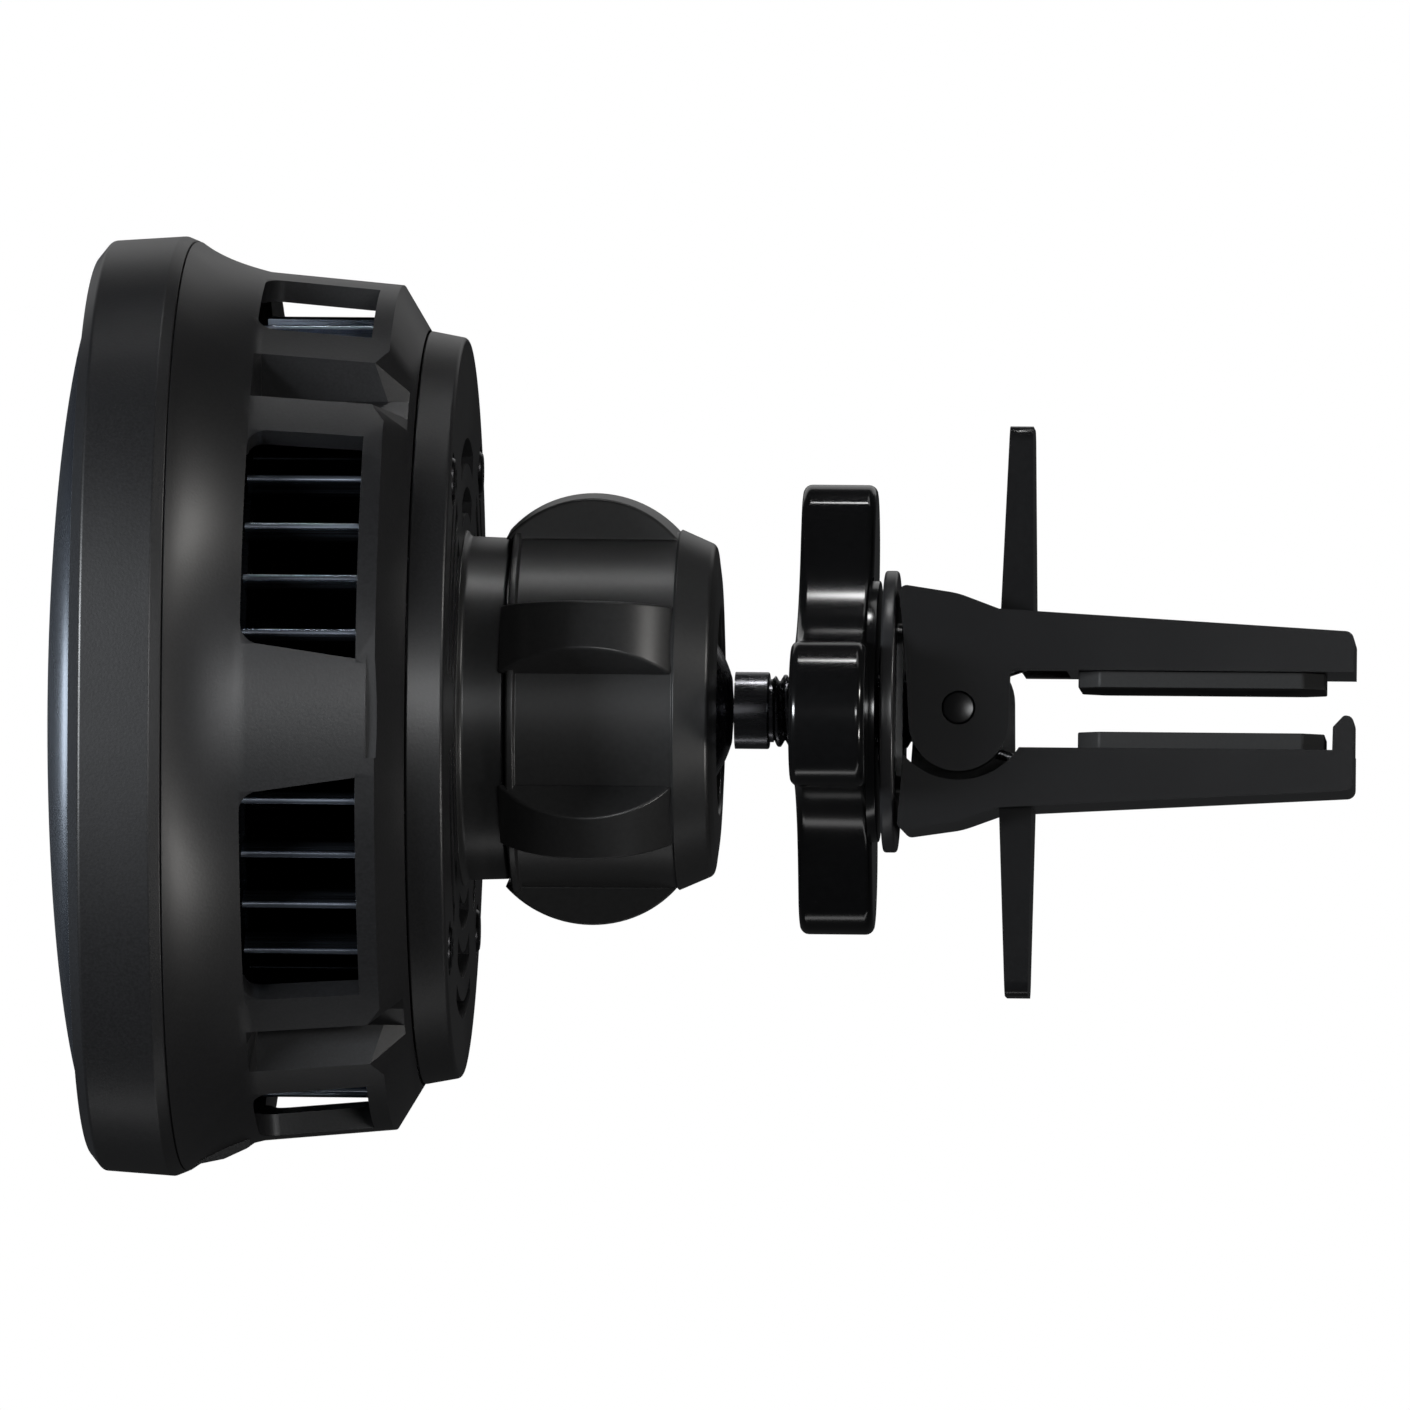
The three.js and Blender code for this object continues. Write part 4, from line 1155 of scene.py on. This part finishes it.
# ---------------------------------------------------------------- pieces that keep their CAD shape
CARRIED = {
    "charging_coil": copper_wire,
    "ferrite_shield": ferrite,
    "magnet_ring": magnet_nickel,
    "carrier_tray": acetal,
    "cold_plate": aluminium,
    "peltier_module": ceramic,
    "control_board": board_green,
    "fan_frame": fan_black,
    "fan_stator": copper_wire,
    "fan_bearing": brass_turned,
    "fan_magnet": magnet_nickel,
    "socket_liner": acetal,
    "socket_screw_1": steel,
    "socket_screw_2": steel,
    "socket_screw_3": steel,
}


def dress_carried():
    for name, material in CARRIED.items():
        node = frame["nodes"][name]
        node.data.materials.clear()
        node.data.materials.append(material)


# ---------------------------------------------------------------- stage
def area_light(name, place, aim, size, energy, colour=(1, 1, 1), spread=180):
    light = bpy.data.lights.new(name, "AREA")
    light.shape = "RECTANGLE"
    light.size, light.size_y = size
    light.energy = energy
    light.color = colour
    light.spread = math.radians(spread)
    obj = bpy.data.objects.new(name, light)
    bpy.context.scene.collection.objects.link(obj)
    obj.location = place
    obj.rotation_mode = "QUATERNION"
    obj.rotation_quaternion = (Vector(aim) - Vector(place)).to_track_quat("-Z", "Y")
    obj.visible_camera = False


def studio():
    aim = (-0.045, 0, 0)
    face, clip = (-0.078, 0, 0), (0.015, 0, 0)
    cool, blue, warm = (0.92, 0.96, 1.0), (0.72, 0.84, 1.0), (1.0, 0.98, 0.95)
    area_light("key", (-0.78, -0.72, 0.06), aim, (0.4, 0.2), 16.0, cool)
    area_light("front", (0.34, -1.15, 0.02), aim, (0.4, 0.16), 3.6, (0.98, 0.99, 1.0))
    area_light("face_back", (-0.75, 0.6, 0.02), face, (0.35, 0.1), 0.85, blue)
    area_light("flare_high", (0.74, -0.3, 0.36), aim, (0.12, 0.12), 2.1, warm)
    area_light("flare_low", (0.74, -0.32, -0.34), aim, (0.12, 0.12), 2.0, warm)
    area_light("top", (0.15, 0.1, 0.8), (0, 0, 0), (0.5, 0.12), 0.25)
    area_light("clip_edges", (0.015, 0.0, 0.5), clip, (0.25, 0.05), 0.004, spread=8)
    area_light("under", (0.0, 0.06, -0.3), (-0.02, 0, 0.1), (0.3, 0.03), 0.05)
    area_light("behind", (-0.1, 0.7, 0.4), aim, (0.9, 0.4), 0.6)
    world = bpy.data.worlds.new("studio")
    bpy.context.scene.world = world
    world.use_nodes = True
    nodes, links = world.node_tree.nodes, world.node_tree.links
    seen = nodes["Background"]
    seen.inputs["Color"].default_value = (1, 1, 1, 1)
    seen.inputs["Strength"].default_value = 1.0
    fill = nodes.new("ShaderNodeBackground")
    fill.inputs["Color"].default_value = (0.95, 0.97, 1, 1)
    fill.inputs["Strength"].default_value = 0.03
    path = nodes.new("ShaderNodeLightPath")
    mix = nodes.new("ShaderNodeMixShader")
    links.new(path.outputs["Is Camera Ray"], mix.inputs["Fac"])
    links.new(fill.outputs["Background"], mix.inputs[1])
    links.new(seen.outputs["Background"], mix.inputs[2])
    links.new(mix.outputs["Shader"], nodes["World Output"].inputs["Surface"])
    bpy.context.scene.view_settings.view_transform = "Standard"


FLOOR_Z = -0.4


def floor():
    bm = bmesh.new()
    bmesh.ops.create_grid(bm, x_segments=1, y_segments=1, size=6)
    obj = to_object("floor", bm)
    obj.location.z = FLOOR_Z
    paint = Finish("floor_paint", 0.7)
    paint.colour(paint.noise(3.0), (0.86, 0.86, 0.86), (0.9, 0.9, 0.9))
    paint.gloss(paint.noise(12.0), 0.05)
    paint.shader.inputs["Emission Color"].default_value = (1, 1, 1, 1)
    paint.shader.inputs["Emission Strength"].default_value = 0.62
    obj.data.materials.append(paint.material)
    obj.visible_glossy = False
    obj.visible_diffuse = False


VIEW_AZIMUTH = 2.7
VIEW_ELEVATION = -2.5
VIEW_ROLL = 0.62
VIEW_DISTANCE = 1.4
VIEW_WIDTH = 0.0981
VIEW_SHIFT = 0.0036


def camera():
    data = bpy.data.cameras.new("camera")
    data.sensor_width = 36
    data.lens = data.sensor_width * VIEW_DISTANCE / VIEW_WIDTH
    data.shift_y = VIEW_SHIFT
    data.clip_start, data.clip_end = 0.05, 50
    obj = bpy.data.objects.new("camera", data)
    bpy.context.scene.collection.objects.link(obj)
    low, high = cad_bounds
    a, e = math.radians(VIEW_AZIMUTH), math.radians(VIEW_ELEVATION)
    back = Vector((math.sin(a) * math.cos(e), -math.cos(a) * math.cos(e), math.sin(e)))
    obj.location = (Vector(low) + Vector(high)) / 2 + back * VIEW_DISTANCE
    turn = (-back).to_track_quat("-Z", "Y").to_matrix() @ Matrix.Rotation(math.radians(VIEW_ROLL), 3, "Z")
    obj.rotation_mode = "QUATERNION"
    obj.rotation_quaternion = turn.to_quaternion()
    bpy.context.scene.camera = obj


# ---------------------------------------------------------------- the mount
camera()
studio()
floor()
front_pad()
front_housing()
rear_housing()
heat_sink()
fan_rotor()
rear_cover()
screws()
usb_socket()
ball_socket()
ball_piece()
lock_nut()
threaded_stud()
clamp_knob()
knob_insert()
pressure_plate()
upper_jaw()
lower_jaw()
grip_pads()
pivot_pin()
torsion_spring()
dress_carried()
